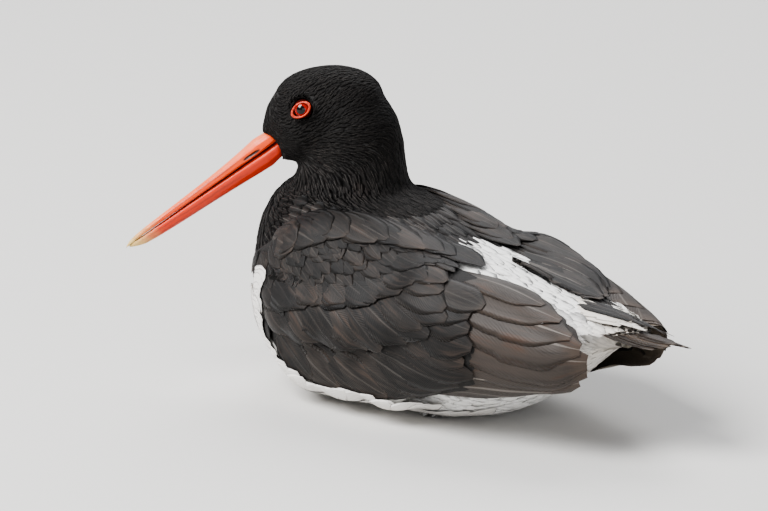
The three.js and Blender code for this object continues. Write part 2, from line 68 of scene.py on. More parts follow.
TRIES = 3.2  # random places tried for each that finds room
SMALL_OUTLINE = (0.45, 0.8, 1.0, 0.85, 0.12)  # of the small feathers on body and wings


class Side(Enum):
    """The bird's two sides, with the sign of their Y."""

    LEFT = -1
    RIGHT = 1


def unit(v: Array) -> Array:
    """Vectors scaled to length one along their last axis."""
    return v / np.maximum(np.linalg.norm(v, axis=-1, keepdims=True), 1e-12)


def along_surface(v: Array, normal: Array) -> Array:
    """Directions laid into the surface that has these normals."""
    return unit(v - normal * np.sum(v * normal, axis=-1, keepdims=True))


def ramp(low: float, high: float, x: Array) -> Array:
    """A smooth step from 0 at low to 1 at high."""
    t = np.clip((x - low) / (high - low), 0, 1)
    return t * t * (3 - 2 * t)


def through(steps: tuple[float, ...], share: Array) -> Array:
    """A value that runs smoothly through even steps.

    Args:
        steps: the value at even steps.
        share: where it is read, from 0 at the first step to 1 at the last.

    Returns:
        The values, in the shape of share.
    """
    steps = np.asarray(steps, float)
    padded = np.concatenate([[2 * steps[0] - steps[1]], steps, [2 * steps[-1] - steps[-2]]])
    at = np.clip(share, 0, 1) * (len(steps) - 1)
    k = np.minimum(at.astype(int), len(steps) - 2)
    t = at - k
    a, b, c, d = padded[k], padded[k + 1], padded[k + 2], padded[k + 3]
    bend = (2 * a - 5 * b + 4 * c - d) * t**2 + (3 * b - a - 3 * c + d) * t**3
    return b + 0.5 * ((c - a) * t + bend)


def head_axes() -> tuple[Array, Array, Array]:
    """The directions of the turned and lowered head.

    Returns:
        The bill's direction, the head's left and the head's up, as unit vectors.
    """
    up = np.array([0, 0, 1.0])
    bill = HEAD_AHEAD * math.cos(BILL_PITCH) - up * math.sin(BILL_PITCH)
    crown = HEAD_AHEAD * math.sin(BILL_PITCH) + up * math.cos(BILL_PITCH)
    return bill, np.cross(crown, bill), crown


def bill_base() -> Array:
    """The place on the head's own axis where the bill leaves the feathers."""
    return HEAD_CENTRE + HEAD_AHEAD * BILL_BASE[0] + np.array([0, 0, BILL_BASE[1]])


# Meshes


def make_object(
    name: str, points: Array, faces: Array, values: dict[str, Array] | None = None, uv: Array | None = None
) -> bpy.types.Object:
    """A smooth mesh object from arrays.

    Args:
        name: the piece's name.
        points: one row for each vertex, in metres.
        faces: one row for each face, all with the same number of corners.
        values: one number for each vertex, by attribute name.
        uv: the place of each vertex on the bake map.

    Returns:
        The new object, linked to the scene.
    """
    mesh = bpy.data.meshes.new(name)
    corners = faces.shape[1]
    mesh.vertices.add(len(points))
    mesh.vertices.foreach_set("co", np.ascontiguousarray(points, np.float32).ravel())
    mesh.loops.add(faces.size)
    mesh.loops.foreach_set("vertex_index", np.ascontiguousarray(faces, np.int32).ravel())
    mesh.polygons.add(len(faces))
    mesh.polygons.foreach_set("loop_start", np.arange(0, faces.size, corners, dtype=np.int32))
    mesh.polygons.foreach_set("use_smooth", np.ones(len(faces), bool))
    mesh.update(calc_edges=True)
    add_values(mesh, values or {})
    if uv is not None:
        layer = mesh.uv_layers.new(name="OFBake")
        layer.data.foreach_set("uv", uv[faces.ravel()].astype(np.float32).ravel())
    made = bpy.data.objects.new(name, mesh)
    bpy.context.scene.collection.objects.link(made)
    return made


def add_values(mesh: bpy.types.Mesh, values: dict[str, Array]) -> None:
    """Stores numbers for a shader to read.

    Args:
        mesh: the mesh that holds them.
        values: one number for each vertex, by attribute name.
    """
    for name, numbers in values.items():
        store = mesh.attributes.new(name, "FLOAT", "POINT")
        store.data.foreach_set("value", np.ascontiguousarray(numbers, np.float32).ravel())


def mesh_points(mesh: bpy.types.Mesh) -> Array:
    """The places of a mesh's vertices.

    Args:
        mesh: the mesh.

    Returns:
        One row for each vertex.
    """
    points = np.empty(len(mesh.vertices) * 3, np.float32)
    mesh.vertices.foreach_get("co", points)
    return points.reshape(-1, 3).astype(float)


def mesh_normals(mesh: bpy.types.Mesh) -> Array:
    """The directions in which a mesh's vertices face.

    Args:
        mesh: the mesh.

    Returns:
        One unit row for each vertex.
    """
    normals = np.empty(len(mesh.vertices) * 3, np.float32)
    mesh.vertex_normals.foreach_get("vector", normals)
    return normals.reshape(-1, 3).astype(float)


def triangles(mesh: bpy.types.Mesh) -> Array:
    """A mesh's faces as triangles.

    Args:
        mesh: the mesh.

    Returns:
        One row of three vertex numbers for each triangle.
    """
    mesh.calc_loop_triangles()
    rows = np.empty(len(mesh.loop_triangles) * 3, np.int32)
    mesh.loop_triangles.foreach_get("vertices", rows)
    return rows.reshape(-1, 3)


def node_solid(name: str, nodes: list[str], voxel: float, rounds: int, inset: float) -> bpy.types.Object:
    """A fine, smooth copy of some of the frame's nodes as one closed surface.

    Args:
        name: the new object's name.
        nodes: the frame's nodes that it takes its shape from.
        voxel: the size of its faces.
        rounds: how many times it is smoothed.
        inset: how far it lies inside the nodes' surface.

    Returns:
        The new object, linked to the scene.
    """
    joined = bmesh.new()
    for node in nodes:
        joined.from_mesh(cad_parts[node].data)
    bmesh.ops.remove_doubles(joined, verts=joined.verts, dist=1e-6)
    mesh = bpy.data.meshes.new(name)
    joined.to_mesh(mesh)
    joined.free()
    made = bpy.data.objects.new(name, mesh)
    bpy.context.scene.collection.objects.link(made)
    remesh = made.modifiers.new("fine", "REMESH")
    remesh.mode = "VOXEL"
    remesh.voxel_size = voxel
    relax = made.modifiers.new("relax", "SMOOTH")
    relax.factor = 0.5
    relax.iterations = rounds
    made.data = bpy.data.meshes.new_from_object(made.evaluated_get(bpy.context.evaluated_depsgraph_get()))
    made.modifiers.clear()
    if inset:
        points = mesh_points(made.data) - mesh_normals(made.data) * inset
        made.data.vertices.foreach_set("co", points.astype(np.float32).ravel())
    made.data.polygons.foreach_set("use_smooth", np.ones(len(made.data.polygons), bool))
    made.data.update()
    return made


def plate(outer: Array, inner: Array) -> tuple[Array, Array]:
    """Two grids of places joined along their edges into one closed form.

    Args:
        outer: rows x columns x 3 places of the upper side.
        inner: as many places of the lower side.

    Returns:
        The form's points and its four-cornered faces.
    """
    rows, columns = outer.shape[:2]
    grid = np.arange(rows * columns).reshape(rows, columns)
    under = grid + grid.size
    tops, bottoms = (
        np.stack([g[:-1, :-1], g[:-1, 1:], g[1:, 1:], g[1:, :-1]], -1).reshape(-1, 4) for g in (grid, under)
    )
    rim = np.concatenate([grid[0, :-1], grid[:-1, -1], grid[-1, :0:-1], grid[:0:-1, 0]])
    after = np.roll(rim, -1)
    walls = np.stack([after, rim, rim + grid.size, after + grid.size], -1)
    points = np.concatenate([outer.reshape(-1, 3), inner.reshape(-1, 3)])
    return points, np.concatenate([tops, bottoms[:, ::-1], walls])


def bake_place(points: Array) -> Array:
    """Unwraps the bird: the body round its long axis, the head and neck round an upright one.

    Args:
        points: places on the bird, one in each row.

    Returns:
        Their places on the bake map: the body in its lower half, the neck and head over it.
    """
    turn = np.arctan2(points[:, 2] - BODY_LEVEL, points[:, 1]) / math.tau + 0.5
    back = (points[:, 0] - BODY_SPAN[0]) / BODY_SPAN[1]
    body = np.stack([0.02 + 0.96 * turn, 0.03 + 0.5 * back], 1)
    out = points - HEAD_CENTRE
    turn = np.arctan2(out[:, 1], out[:, 0]) / math.tau + 0.5
    up = (points[:, 2] - HEAD_SPAN[0]) / HEAD_SPAN[1]
    top = np.stack([0.02 + 0.96 * turn, 0.6 + 0.37 * up], 1)
    return np.clip(np.where(points[:, 2:] > HEAD_SPAN[0], top, body), 0.01, 0.99)


# Shader graphs


class Value:
    """A number that flows through a shader's nodes, for use in plain arithmetic."""

    def __init__(self, graph: "Graph", socket: bpy.types.NodeSocket) -> None:
        """Wraps a node's output socket."""
        self.graph = graph
        self.socket = socket

    def __add__(self, other: "Value | float") -> "Value":
        """Sum."""
        return self.graph.math("ADD", self, other)

    __radd__ = __add__

    def __sub__(self, other: "Value | float") -> "Value":
        """Difference."""
        return self.graph.math("SUBTRACT", self, other)

    def __rsub__(self, other: float) -> "Value":
        """Difference from a plain number."""
        return self.graph.math("SUBTRACT", other, self)

    def __mul__(self, other: "Value | float") -> "Value":
        """Product."""
        return self.graph.math("MULTIPLY", self, other)

    __rmul__ = __mul__

    def __pow__(self, power: float) -> "Value":
        """Power."""
        return self.graph.math("POWER", self, power)

    def __abs__(self) -> "Value":
        """Size without sign."""
        return self.graph.math("ABSOLUTE", self)

    def sine(self) -> "Value":
        """Sine."""
        return self.graph.math("SINE", self)

    def ramp(self, low: float, high: float) -> "Value":
        """A smooth step, rising or falling.

        Args:
            low: where the step is 0.
            high: where it is 1.

        Returns:
            The step's height at this value.
        """
        settings = {"interpolation_type": "SMOOTHSTEP"}
        inputs = {"Value": self, "From Min": low, "From Max": high}
        if low > high:
            inputs = {"Value": self, "From Min": high, "From Max": low, "To Min": 1.0, "To Max": 0.0}
        return Value(self.graph, self.graph.node("ShaderNodeMapRange", settings, inputs).outputs["Result"])


class Graph:
    """The node tree of one material with a single surface shader."""

    def __init__(self, name: str) -> None:
        """Makes the material and its surface shader.

        Args:
            name: the material's name.
        """
        self.material = bpy.data.materials.new(name)
        self.material.use_nodes = True
        self.tree = self.material.node_tree
        self.shader = self.tree.nodes["Principled BSDF"]
        self.place = self.node("ShaderNodeTexCoord").outputs["Object"]

    def node(self, kind: str, settings: dict | None = None, inputs: dict | None = None) -> bpy.types.Node:
        """One node.

        Args:
            kind: the node's type.
            settings: its properties by name.
            inputs: values, sockets or Value objects by input name or number.

        Returns:
            The new node.
        """
        made = self.tree.nodes.new(kind)
        for name, setting in (settings or {}).items():
            setattr(made, name, setting)
        for name, given in (inputs or {}).items():
            self.feed(made.inputs[name], given)
        return made

    def feed(self, socket: bpy.types.NodeSocket, given: object) -> None:
        """Links or sets one input.

        Args:
            socket: the input.
            given: a plain value, a socket or a Value.
        """
        source = given.socket if isinstance(given, Value) else given
        if isinstance(source, bpy.types.NodeSocket):
            self.tree.links.new(source, socket)
        else:
            socket.default_value = source

    def math(self, operation: str, *terms: "Value | float") -> Value:
        """One step of arithmetic."""
        made = self.node("ShaderNodeMath", {"operation": operation}, dict(enumerate(terms)))
        return Value(self, made.outputs[0])

    def attribute(self, name: str) -> Value:
        """A number that the mesh holds for each vertex."""
        return Value(self, self.node("ShaderNodeAttribute", {"attribute_name": name}).outputs["Fac"])

    def noise(self, scale: float, detail: float, place: bpy.types.NodeSocket | None = None) -> Value:
        """Noise from 0 to 1 with grains of 1 / scale, over the object's own space or another place."""
        inputs = {"Vector": place or self.place, "Scale": scale, "Detail": detail}
        return Value(self, self.node("ShaderNodeTexNoise", None, inputs).outputs["Fac"])

    def grain(self, along: Value, across: Value, shift: Value, scale: float) -> Value:
        """Noise from 0 to 1 drawn out along a feather, different on each one."""
        place = self.node("ShaderNodeCombineXYZ", None, {"X": along, "Y": across, "Z": shift})
        return self.noise(scale, 3.0, place.outputs[0])

    def mix(self, share: "Value | float", a: object, b: object) -> bpy.types.NodeSocket:
        """Colour a turning into colour b as share goes from 0 to 1."""
        made = self.node("ShaderNodeMix", {"data_type": "RGBA"}, {0: share, 6: a, 7: b})
        return made.outputs[2]

    def bump(self, height: Value, distance: float, strength: float) -> bpy.types.NodeSocket:
        """A surface normal roughened by a height."""
        inputs = {"Height": height, "Distance": distance, "Strength": strength}
        return self.node("ShaderNodeBump", None, inputs).outputs["Normal"]

    def finish(self, **inputs: object) -> bpy.types.Material:
        """Feeds the surface shader.

        Args:
            inputs: what its inputs get, by their names with _ for a space.

        Returns:
            The finished material.
        """
        for name, given in inputs.items():
            self.feed(self.shader.inputs[name.replace("_", " ")], given)
        return self.material


def rgb(red: float, green: float, blue: float) -> Colour:
    """An opaque colour."""
    return (red, green, blue, 1.0)


@dataclass(frozen=True)
class FeatherFinish:
    """Vanes of two dark tones and white, with barbs, a shaft and worn pale edges; the white is greyed with
    painted shade at its edges and along the grain, and browned with soiling and painted light.
    """

    name: str
    deep: Colour = rgb(0.0042, 0.0036, 0.0034)
    worn: Colour = rgb(0.047, 0.037, 0.031)
    rufous: Colour = rgb(0.060, 0.027, 0.014)
    edge: Colour = rgb(0.115, 0.078, 0.055)
    shaft: Colour = rgb(0.30, 0.27, 0.24)
    white: Colour = rgb(0.80, 0.79, 0.77)
    # brown for the white: soiling, painted shade under the rear body and painted light on the far wing's
    # lower flight feathers
    soil_and_painted_light: Colour = rgb(0.50, 0.42, 0.32)
    # painted shade: the grey that the white vanes take at their edges and along the grain
    painted_shade: Colour = rgb(0.42, 0.40, 0.38)
    edge_share: float = 0.35
    rufous_share: float = 0.6
    barbs: float = 150.0
    roughness: float = 0.62
    sheen: float = 0.05
    specular: float = 0.32
    relief: float = 0.5

    def material(self) -> bpy.types.Material:
        """Makes the material.

        Returns:
            The material.
        """
        g = Graph(self.name)
        along = g.attribute("along")
        across = g.attribute("across")
        tone = g.attribute("tone")
        reach = abs(across)
        cloud = g.noise(60, 3)
        streak = (along * self.barbs - reach * (0.35 * self.barbs) + cloud * 9).sine()
        grain = g.noise(1400, 2)
        drawn = g.grain(along * 0.9 - reach * 0.35, across * 2.2, tone * 40, 3.0)
        worn = (tone * 0.8 + (drawn - 0.5) * 0.9 + cloud * 0.3 - 0.05 + (grain - 0.5) * 0.2).ramp(0.1, 0.95)
        colour = g.mix(worn, self.deep, self.worn)
        warm = (drawn * 0.7 + cloud * 0.5).ramp(0.62, 0.8) * tone * self.rufous_share
        colour = g.mix(warm, colour, self.rufous)
        rim = (reach + g.noise(500, 2) * 0.16).ramp(0.90, 1.06)
        tip = (along + g.noise(400, 2) * 0.06).ramp(0.93, 1.02)
        colour = g.mix((rim + tip) * tone * self.edge_share, colour, self.edge)
        colour = g.mix(g.attribute("shaft") * reach.ramp(0.075, 0.03), colour, self.shaft)
        # The white is browned by soiling, by painted shade under the rear body and by painted light on the
        # far wing's lower flight feathers.
        pale = g.mix(g.attribute("soil_and_painted_light") + cloud.ramp(0.5, 0.75) * 0.1, self.white, self.soil_and_painted_light)
        # Painted shade: the white greys towards its edges and along the grain, to part the feathers.
        pale = g.mix(rim * 0.35 + drawn.ramp(0.4, 0.7) * 0.2, pale, self.painted_shade)
        colour = g.mix(g.attribute("white"), colour, pale)
        height = streak * 0.4 + grain * 0.5 + reach.ramp(0.06, 0.0)
        return g.finish(
            Base_Color=colour,
            Roughness=(grain - 0.5) * 0.2 + (self.roughness - 0.08 * tone),
            Normal=g.bump(height, 0.00012, self.relief),
            Sheen_Weight=self.sheen,
            Sheen_Roughness=0.4,
            Specular_IOR_Level=self.specular,
        )


@dataclass(frozen=True)
class SkinFinish:
    """Down next to the skin, dark or white as the feathers over it."""

    name: str
    dark: Colour = rgb(0.007, 0.0065, 0.006)
    lighter: Colour = rgb(0.02, 0.017, 0.015)
    white: Colour = rgb(0.74, 0.73, 0.70)

    def material(self) -> bpy.types.Material:
        """Makes the material.

        Returns:
            The material.
        """
        g = Graph(self.name)
        down = g.noise(900, 4)
        dark = g.mix(down * 0.5, self.dark, self.lighter)
        return g.finish(
            Base_Color=g.mix(g.attribute("white"), dark, self.white),
            Roughness=down * 0.2 + 0.7,
            Normal=g.bump(down, 0.0004, 0.8),
        )


@dataclass(frozen=True)
class BillFinish:
    """Horn that is orange-red and yellowish at the tip, with fine long grooves, a painted highlight along the
    ridge and painted shade towards the lower edge.
    """

    name: str
    # red for the lower side, as painted shade, and orange for the upper
    red: Colour = rgb(0.58, 0.034, 0.006)
    orange: Colour = rgb(0.78, 0.090, 0.010)
    dark: Colour = rgb(0.30, 0.030, 0.012)
    # painted highlight along the top of the bill
    ridge: Colour = rgb(0.90, 0.40, 0.24)
    horn: Colour = rgb(0.62, 0.44, 0.17)
    seam: Colour = rgb(0.10, 0.012, 0.006)
    # painted shade inside the nostril slits
    nostril: Colour = rgb(0.035, 0.008, 0.006)
    scuffed: Colour = rgb(0.33, 0.21, 0.07)

    def material(self) -> bpy.types.Material:
        """Makes the material.

        Returns:
            The material.
        """
        g = Graph(self.name)
        along = g.attribute("along")
        height = g.attribute("height")
        slit = g.attribute("slit")
        cloud = g.noise(120, 4)
        fine = g.noise(700, 3)
        # Painted shade: darker red towards the lower edge, orange above.
        colour = g.mix((height + (cloud - 0.5) * 0.9).ramp(-0.5, 0.9), self.red, self.orange)
        groove = (height * 9 + cloud * 4).sine() * 0.5 + 0.5
        colour = g.mix(groove**4 * along.ramp(0.08, 0.3) * 0.7, colour, self.dark)
        # Painted highlight along the ridge.
        colour = g.mix((height + cloud * 0.3).ramp(0.85, 1.25) * 0.4, colour, self.ridge)
        colour = g.mix((along + (cloud - 0.5) * 0.16).ramp(0.76, 0.95), colour, self.horn)
        colour = g.mix(abs(height + 0.02).ramp(0.09, 0.02) * along.ramp(0.96, 0.9), colour, self.seam)
        # Painted shade inside the nostril slits.
        colour = g.mix(slit.ramp(0.2, 0.6), colour, self.nostril)
        scuffs = (fine + (along - 0.5) * 0.2).ramp(0.62, 0.75)
        colour = g.mix(scuffs * along.ramp(0.55, 0.95) * 0.5, colour, self.scuffed)
        return g.finish(
            Base_Color=colour,
            Roughness=fine * 0.2 + scuffs * 0.15 + 0.3,
            Normal=g.bump(groove * 0.5 + fine * 0.5, 0.0002, 0.4),
            Specular_IOR_Level=0.5,
            Subsurface_Weight=0.05,
            Subsurface_Scale=0.002,
        )


@dataclass(frozen=True)
class RingFinish:
    """Bare, finely folded skin round the eye."""

    name: str
    bright: Colour = rgb(0.72, 0.075, 0.020)
    deep: Colour = rgb(0.34, 0.022, 0.010)

    def material(self) -> bpy.types.Material:
        """Makes the material.

        Returns:
            The material.
        """
        g = Graph(self.name)
        folds = g.noise(1500, 3)
        return g.finish(
            Base_Color=g.mix(folds.ramp(0.35, 0.7), self.deep, self.bright),
            Roughness=folds * 0.3 + 0.3,
            Normal=g.bump(folds, 0.0002, 0.6),
        )


@dataclass(frozen=True)
class EyeFinish:
    """A red iris with fine rays round a black pupil, under a wet cornea."""

    name: str
    iris: Colour = rgb(0.30, 0.010, 0.005)
    rays: Colour = rgb(0.55, 0.035, 0.010)
    rim: Colour = rgb(0.05, 0.006, 0.004)
    pupil: Colour = rgb(0.002, 0.002, 0.002)
    pupil_edge: float = 2.0  # the pupil's radius in millimetres

    def material(self) -> bpy.types.Material:
        """Makes the material.

        Returns:
            The material.
        """
        g = Graph(self.name)
        radius = g.attribute("radius")
        spin = g.attribute("spin")
        rays = (spin * 46 + g.noise(800, 2) * 8).sine() * 0.5 + 0.5
        colour = g.mix(rays * radius.ramp(1.9, 3.2) * 0.7, self.iris, self.rays)
        colour = g.mix(radius.ramp(2.9, 3.5), colour, self.rim)
        colour = g.mix(radius.ramp(self.pupil_edge + 0.12, self.pupil_edge - 0.12), colour, self.pupil)
        return g.finish(
            Base_Color=colour, Roughness=0.1, Specular_IOR_Level=0.2, Coat_Weight=0.45, Coat_Roughness=0.02
        )


@dataclass(frozen=True)
class LegFinish:
    """Dull pink skin in small scales, with some dust."""

    name: str
    skin: Colour = rgb(0.56, 0.22, 0.19)
    dust: Colour = rgb(0.46, 0.36, 0.28)

    def material(self) -> bpy.types.Material:
        """Makes the material.

        Returns:
            The material.
        """
        g = Graph(self.name)
        cells = g.node("ShaderNodeTexVoronoi", None, {"Vector": g.place, "Scale": 700.0})
        scales = Value(g, cells.outputs["Distance"])
        return g.finish(
            Base_Color=g.mix(g.noise(220, 4).ramp(0.45, 0.7), self.skin, self.dust),
            Roughness=scales * 0.3 + 0.5,
            Normal=g.bump(scales, 0.0003, 0.7),
        )


@dataclass(frozen=True)
class FloorFinish:
    """A plain pale floor."""

    name: str
    pale: Colour = rgb(0.62, 0.61, 0.59)

    def material(self) -> bpy.types.Material:
        """Makes the material."""
        g = Graph(self.name)
        return g.finish(Base_Color=self.pale, Roughness=g.noise(40, 2) * 0.1 + 0.75)


# Feathers


@dataclass(frozen=True)
class Blade:
    """The form of one kind of feather.

    Stations are the places along it and columns those across its upper face. Its lower face has as
    many where it is thick, or else none. Outline is its half width as a share of the widest, in even
    steps from root to tip. Camber, ridge, splits and roughen are shares of the half width.
    """

    stations: int
    columns: int
    outline: tuple[float, ...]
    camber: float = 0.25
    thickness: float = 0.0
    ridge: float = 0.06
    splits: float = 0.0
    roughen: float = 0.0


@dataclass
class Lines:
    """Feathers to be built: for each its middle line and facing, width, and numbers for its looks."""

    middle: Array  # feathers x stations x 3
    facing: Array  # feathers x stations x 3
    width: Array  # whole width at the widest
    tone: Array
    white: Array
    shaft: Array
    # browning of the white: soiling, with painted shade and painted light in places
    soil_and_painted_light: Array

    @classmethod
    def join(cls, parts: list["Lines"]) -> "Lines":
        """Several sets as one.

        Args:
            parts: the sets, all of this kind.

        Returns:
            One set with all their feathers.
        """
        names = cls.__dataclass_fields__
        return cls(*(np.concatenate([getattr(part, name) for part in parts]) for name in names))


@dataclass
class WingLines(Lines):
    """Feathers that follow a wing's sheet over their whole width."""

    grid: Array  # feathers x stations x 3: x in mm, turn in degrees, height over the sheet in metres
    tilt: Array  # how much higher each feather's lower edge lies than its middle, over the distance


def vane_halves(lines: Lines, blade: Blade, seed: int) -> Array:
    """The half widths of feathers, uneven and with splits in their edges.

    Args:
        lines: the feathers.
        blade: their form.
        seed: for the unevenness and the splits.

    Returns:
        Feathers x stations x 2 half widths in metres, left and right of the shaft.
    """
    rng = np.random.default_rng(seed)
    count, stations = lines.middle.shape[:2]
    share = np.linspace(0, 1, stations)
    half = through(blade.outline, share)[None, :] * lines.width[:, None] / 2
    halves = np.stack([half, half], 2) * (1 + blade.roughen * rng.normal(size=(count, stations, 2)))
    for _ in range(SPLITS):
        at = rng.uniform(0.35, 1.0, (count, 1, 2))
        deep = blade.splits * rng.uniform(0, 1, (count, 1, 2)) ** 2
        shape = (share[None, :, None] - at) / 0.05
        notch = np.where(shape < 0, np.exp(-np.abs(shape) * 0.6), np.exp(-np.abs(shape) * 2.5))
        halves *= 1 - deep * notch
    return halves


def ring_faces(count: int, stations: int, around: int) -> Array:
    """The faces of feathers whose points go round in rings, one ring at each station.

    Args:
        count: how many feathers.
        stations: how many rings each has.
        around: how many points each ring has.

    Returns:
        Rows of four vertex numbers.
    """
    first = np.arange(count)[:, None, None] * stations * around
    row = np.arange(stations - 1)[None, :, None] * around
    column = np.arange(around)[None, None, :]
    near = first + row + column
    far = first + row + (column + 1) % around
    return np.stack([near, far, far + around, near + around], 3).reshape(-1, 4)


def build_blades(
    name: str, lines: Lines, blade: Blade, seed: int, sheet: "WingSurface | None" = None
) -> bpy.types.Object:
    """Builds feathers as thin closed forms along their middle lines, none of them under the floor.

    Args:
        name: the piece's name.
        lines: where the feathers lie.
        blade: their form.
        seed: for their splits and unevenness.
        sheet: the wing's sheet that they follow, for WingLines.

    Returns:
        All the feathers in one object.
    """
    count, stations = lines.middle.shape[:2]
    share = np.linspace(0, 1, stations)
    forward = unit(np.gradient(lines.middle, axis=1))
    sideways = unit(np.cross(lines.facing, forward))
    halves = vane_halves(lines, blade, seed)
    left, right = halves[..., :1], halves[..., 1:]
    across = np.broadcast_to(np.linspace(-1, 1, blade.columns), (count, stations, blade.columns))
    spread = np.where(across < 0, left, right) * across
    widest = lines.width[:, None, None] / 2
    rise = -blade.camber * np.abs(across) ** 2 * np.maximum(left, right)
    rise = rise + blade.ridge * widest * np.exp(-((across / RIDGE_WIDTH) ** 2)) * (1 - share)[None, :, None]
    if blade.thickness:
        under = slice(blade.columns - 2, 0, -1)
        spread = np.concatenate([spread, spread[..., under]], 2)
        rise = np.concatenate([rise, rise[..., under] - blade.thickness], 2)
        across = np.concatenate([across, across[..., under]], 2)
    if sheet:
        points = sheet.drape(lines, sideways, spread, rise)
    else:
        points = lines.middle[:, :, None] + sideways[:, :, None] * spread[..., None]
        points = points + np.cross(forward, sideways)[:, :, None] * rise[..., None]
    low = points[..., 2] / MM
    lifted = FLOOR_GAP + (1 - FLOOR_GAP) * np.exp((low - 1) / (1 - FLOOR_GAP))
    points[..., 2] = np.where(low < 1, lifted, low) * MM
    along = np.broadcast_to(share[None, :, None], spread.shape)
    values = {"along": along, "across": across}
    for key in ("tone", "white", "shaft", "soil_and_painted_light"):
        values[key] = np.broadcast_to(getattr(lines, key)[:, None, None], spread.shape)
    root = bake_place(lines.middle[:, 0])[:, None, None]
    uv = root + np.stack([across * 0.5, along - 0.5], 3) * BAKE_PATCH
    faces = ring_faces(count, stations, spread.shape[2])
    return make_object(name, points.reshape(-1, 3), faces, values, uv.reshape(-1, 2))


class Surface:
    """A surface that feathers lie on, found by its nearest point."""

    def __init__(self, mesh: bpy.types.Mesh) -> None:
        """Prepares a mesh for searching.

        Args:
            mesh: the mesh.
        """
        self.points = mesh_points(mesh)
        self.normals = mesh_normals(mesh)
        self.faces = triangles(mesh)
        self.tree = BVHTree.FromPolygons(self.points.tolist(), self.faces.tolist())

    def nearest(self, points: Array) -> tuple[Array, Array]:
        """Lays places onto the surface.

        Args:
            points: the places.

        Returns:
            The nearest places on the surface, and the directions in which it faces there.
        """
        places = np.empty_like(points)
        facing = np.empty_like(points)
        for i, point in enumerate(points):
            place, _, face, _ = self.tree.find_nearest(Vector(point))
            a, b, c = self.points[self.faces[face]]
            to = np.array(place)
            areas = [np.linalg.norm(np.cross(q - to, r - to)) for q, r in ((b, c), (c, a), (a, b))]
            normal = np.average(self.normals[self.faces[face]], axis=0, weights=np.array(areas) + 1e-15)
            places[i] = to
            facing[i] = normal
        return places, unit(facing)

    def scatter(self, spacing: float, wanted: Callable[[Array], Array], seed: int) -> tuple[Array, Array]:
        """Evenly spaced random places.

        Args:
            spacing: the least distance between two of them.
            wanted: tells for many places at once which of them may be used.
            seed: for the random numbers.

        Returns:
            The places, and the directions in which the surface faces there.
        """
        rng = np.random.default_rng(seed)
        a, b, c = (self.points[self.faces[:, k]] for k in range(3))
        area = np.linalg.norm(np.cross(b - a, c - a), axis=1) / 2
        area = np.where(wanted((a + b + c) / 3), area, 0)
        if area.sum() == 0:
            return np.empty((0, 3)), np.empty((0, 3))
        tries = int(TRIES * area.sum() / spacing**2) + 1
        face = rng.choice(len(area), tries, p=area / area.sum())
        u, v = rng.uniform(size=(2, tries))
        flip = u + v > 1
        u, v = np.where(flip, 1 - u, u)[:, None], np.where(flip, 1 - v, v)[:, None]
        places = a[face] + (b - a)[face] * u + (c - a)[face] * v
        corner = self.normals[self.faces[face]]
        facing = unit(corner[:, 0] * (1 - u - v) + corner[:, 1] * u + corner[:, 2] * v)
        kept = thin_out(places, spacing)
        return places[kept], facing[kept]


def thin_out(places: Array, spacing: float) -> list[int]:
    """Leaves places out, so that no two are nearer than the spacing.

    Args:
        places: the places, one in each row.
        spacing: the least distance between two of them.

    Returns:
        The numbers of the rows that stay.
    """
    cells: dict[tuple[int, int, int], list[int]] = {}
    kept = []
    rows = np.floor(places / spacing).astype(int).tolist()
    points = places.tolist()
    limit = spacing * spacing
    steps = [(i, j, k) for i in (-1, 0, 1) for j in (-1, 0, 1) for k in (-1, 0, 1)]
    for n, (x, y, z) in enumerate(rows):
        px, py, pz = points[n]
        near = (points[m] for i, j, k in steps for m in cells.get((x + i, y + j, z + k), ()))
        if all((a - px) ** 2 + (b - py) ** 2 + (c - pz) ** 2 > limit for a, b, c in near):
            kept.append(n)
            cells.setdefault((x, y, z), []).append(n)
    return kept


# Markings and lie of the coat


RUMP_EDGE = ((24, 51, 77, 100, 112), (12, 9, 5, 12, 20))  # of the white: x, and y there, in millimetres


def white_share(points: Array) -> Array:
    """Where the plumage is white: the belly, a spur before each wing, the vent and the rump.

    Args:
        points: places on the body, one in each row. The sizes below are in millimetres.

    Returns:
        From 0 where it is black to 1 where it is white.
    """
    x, y, z = (points[:, k] / MM for k in range(3))
    ripple = 1.6 * np.sin(y * 0.7 + x * 0.31) + 1.1 * np.sin(z * 0.9 + x * 0.5)
    border = 22 + 37 * ramp(14, 25, np.abs(y)) * ramp(-50, -66, x) + 26 * ramp(-66, -50, x)
    belly = ramp(1.2, -1.2, z - border + ripple * 0.6)
    back_edge = np.interp(x, *RUMP_EDGE)
    front_edge = 14 + 0.018 * np.abs(y + 4) ** 2
    rump = ramp(-1.5, 1.5, x - front_edge + ripple) * ramp(1.5, -1.5, y - back_edge + ripple)
    behind = ramp(76, 82, x) * ramp(62, 57, z)
    low = ramp(52, 46, z)
    parts = (belly, rump * ramp(46, 52, z), behind, low * ramp(-60, -50, x))
    return np.maximum.reduce(parts) * (z < 90)


def soil_and_shade_share(points: Array) -> Array:
    """How far the white is browned: soiled towards the tail, and painted shade low under the rear of the
    body.
    """
    x, _, z = (points[:, k] / MM for k in range(3))
    return np.clip(0.5 * ramp(84, 108, x) + 0.35 * ramp(60, 75, x) * ramp(50, 40, z), 0, 1)


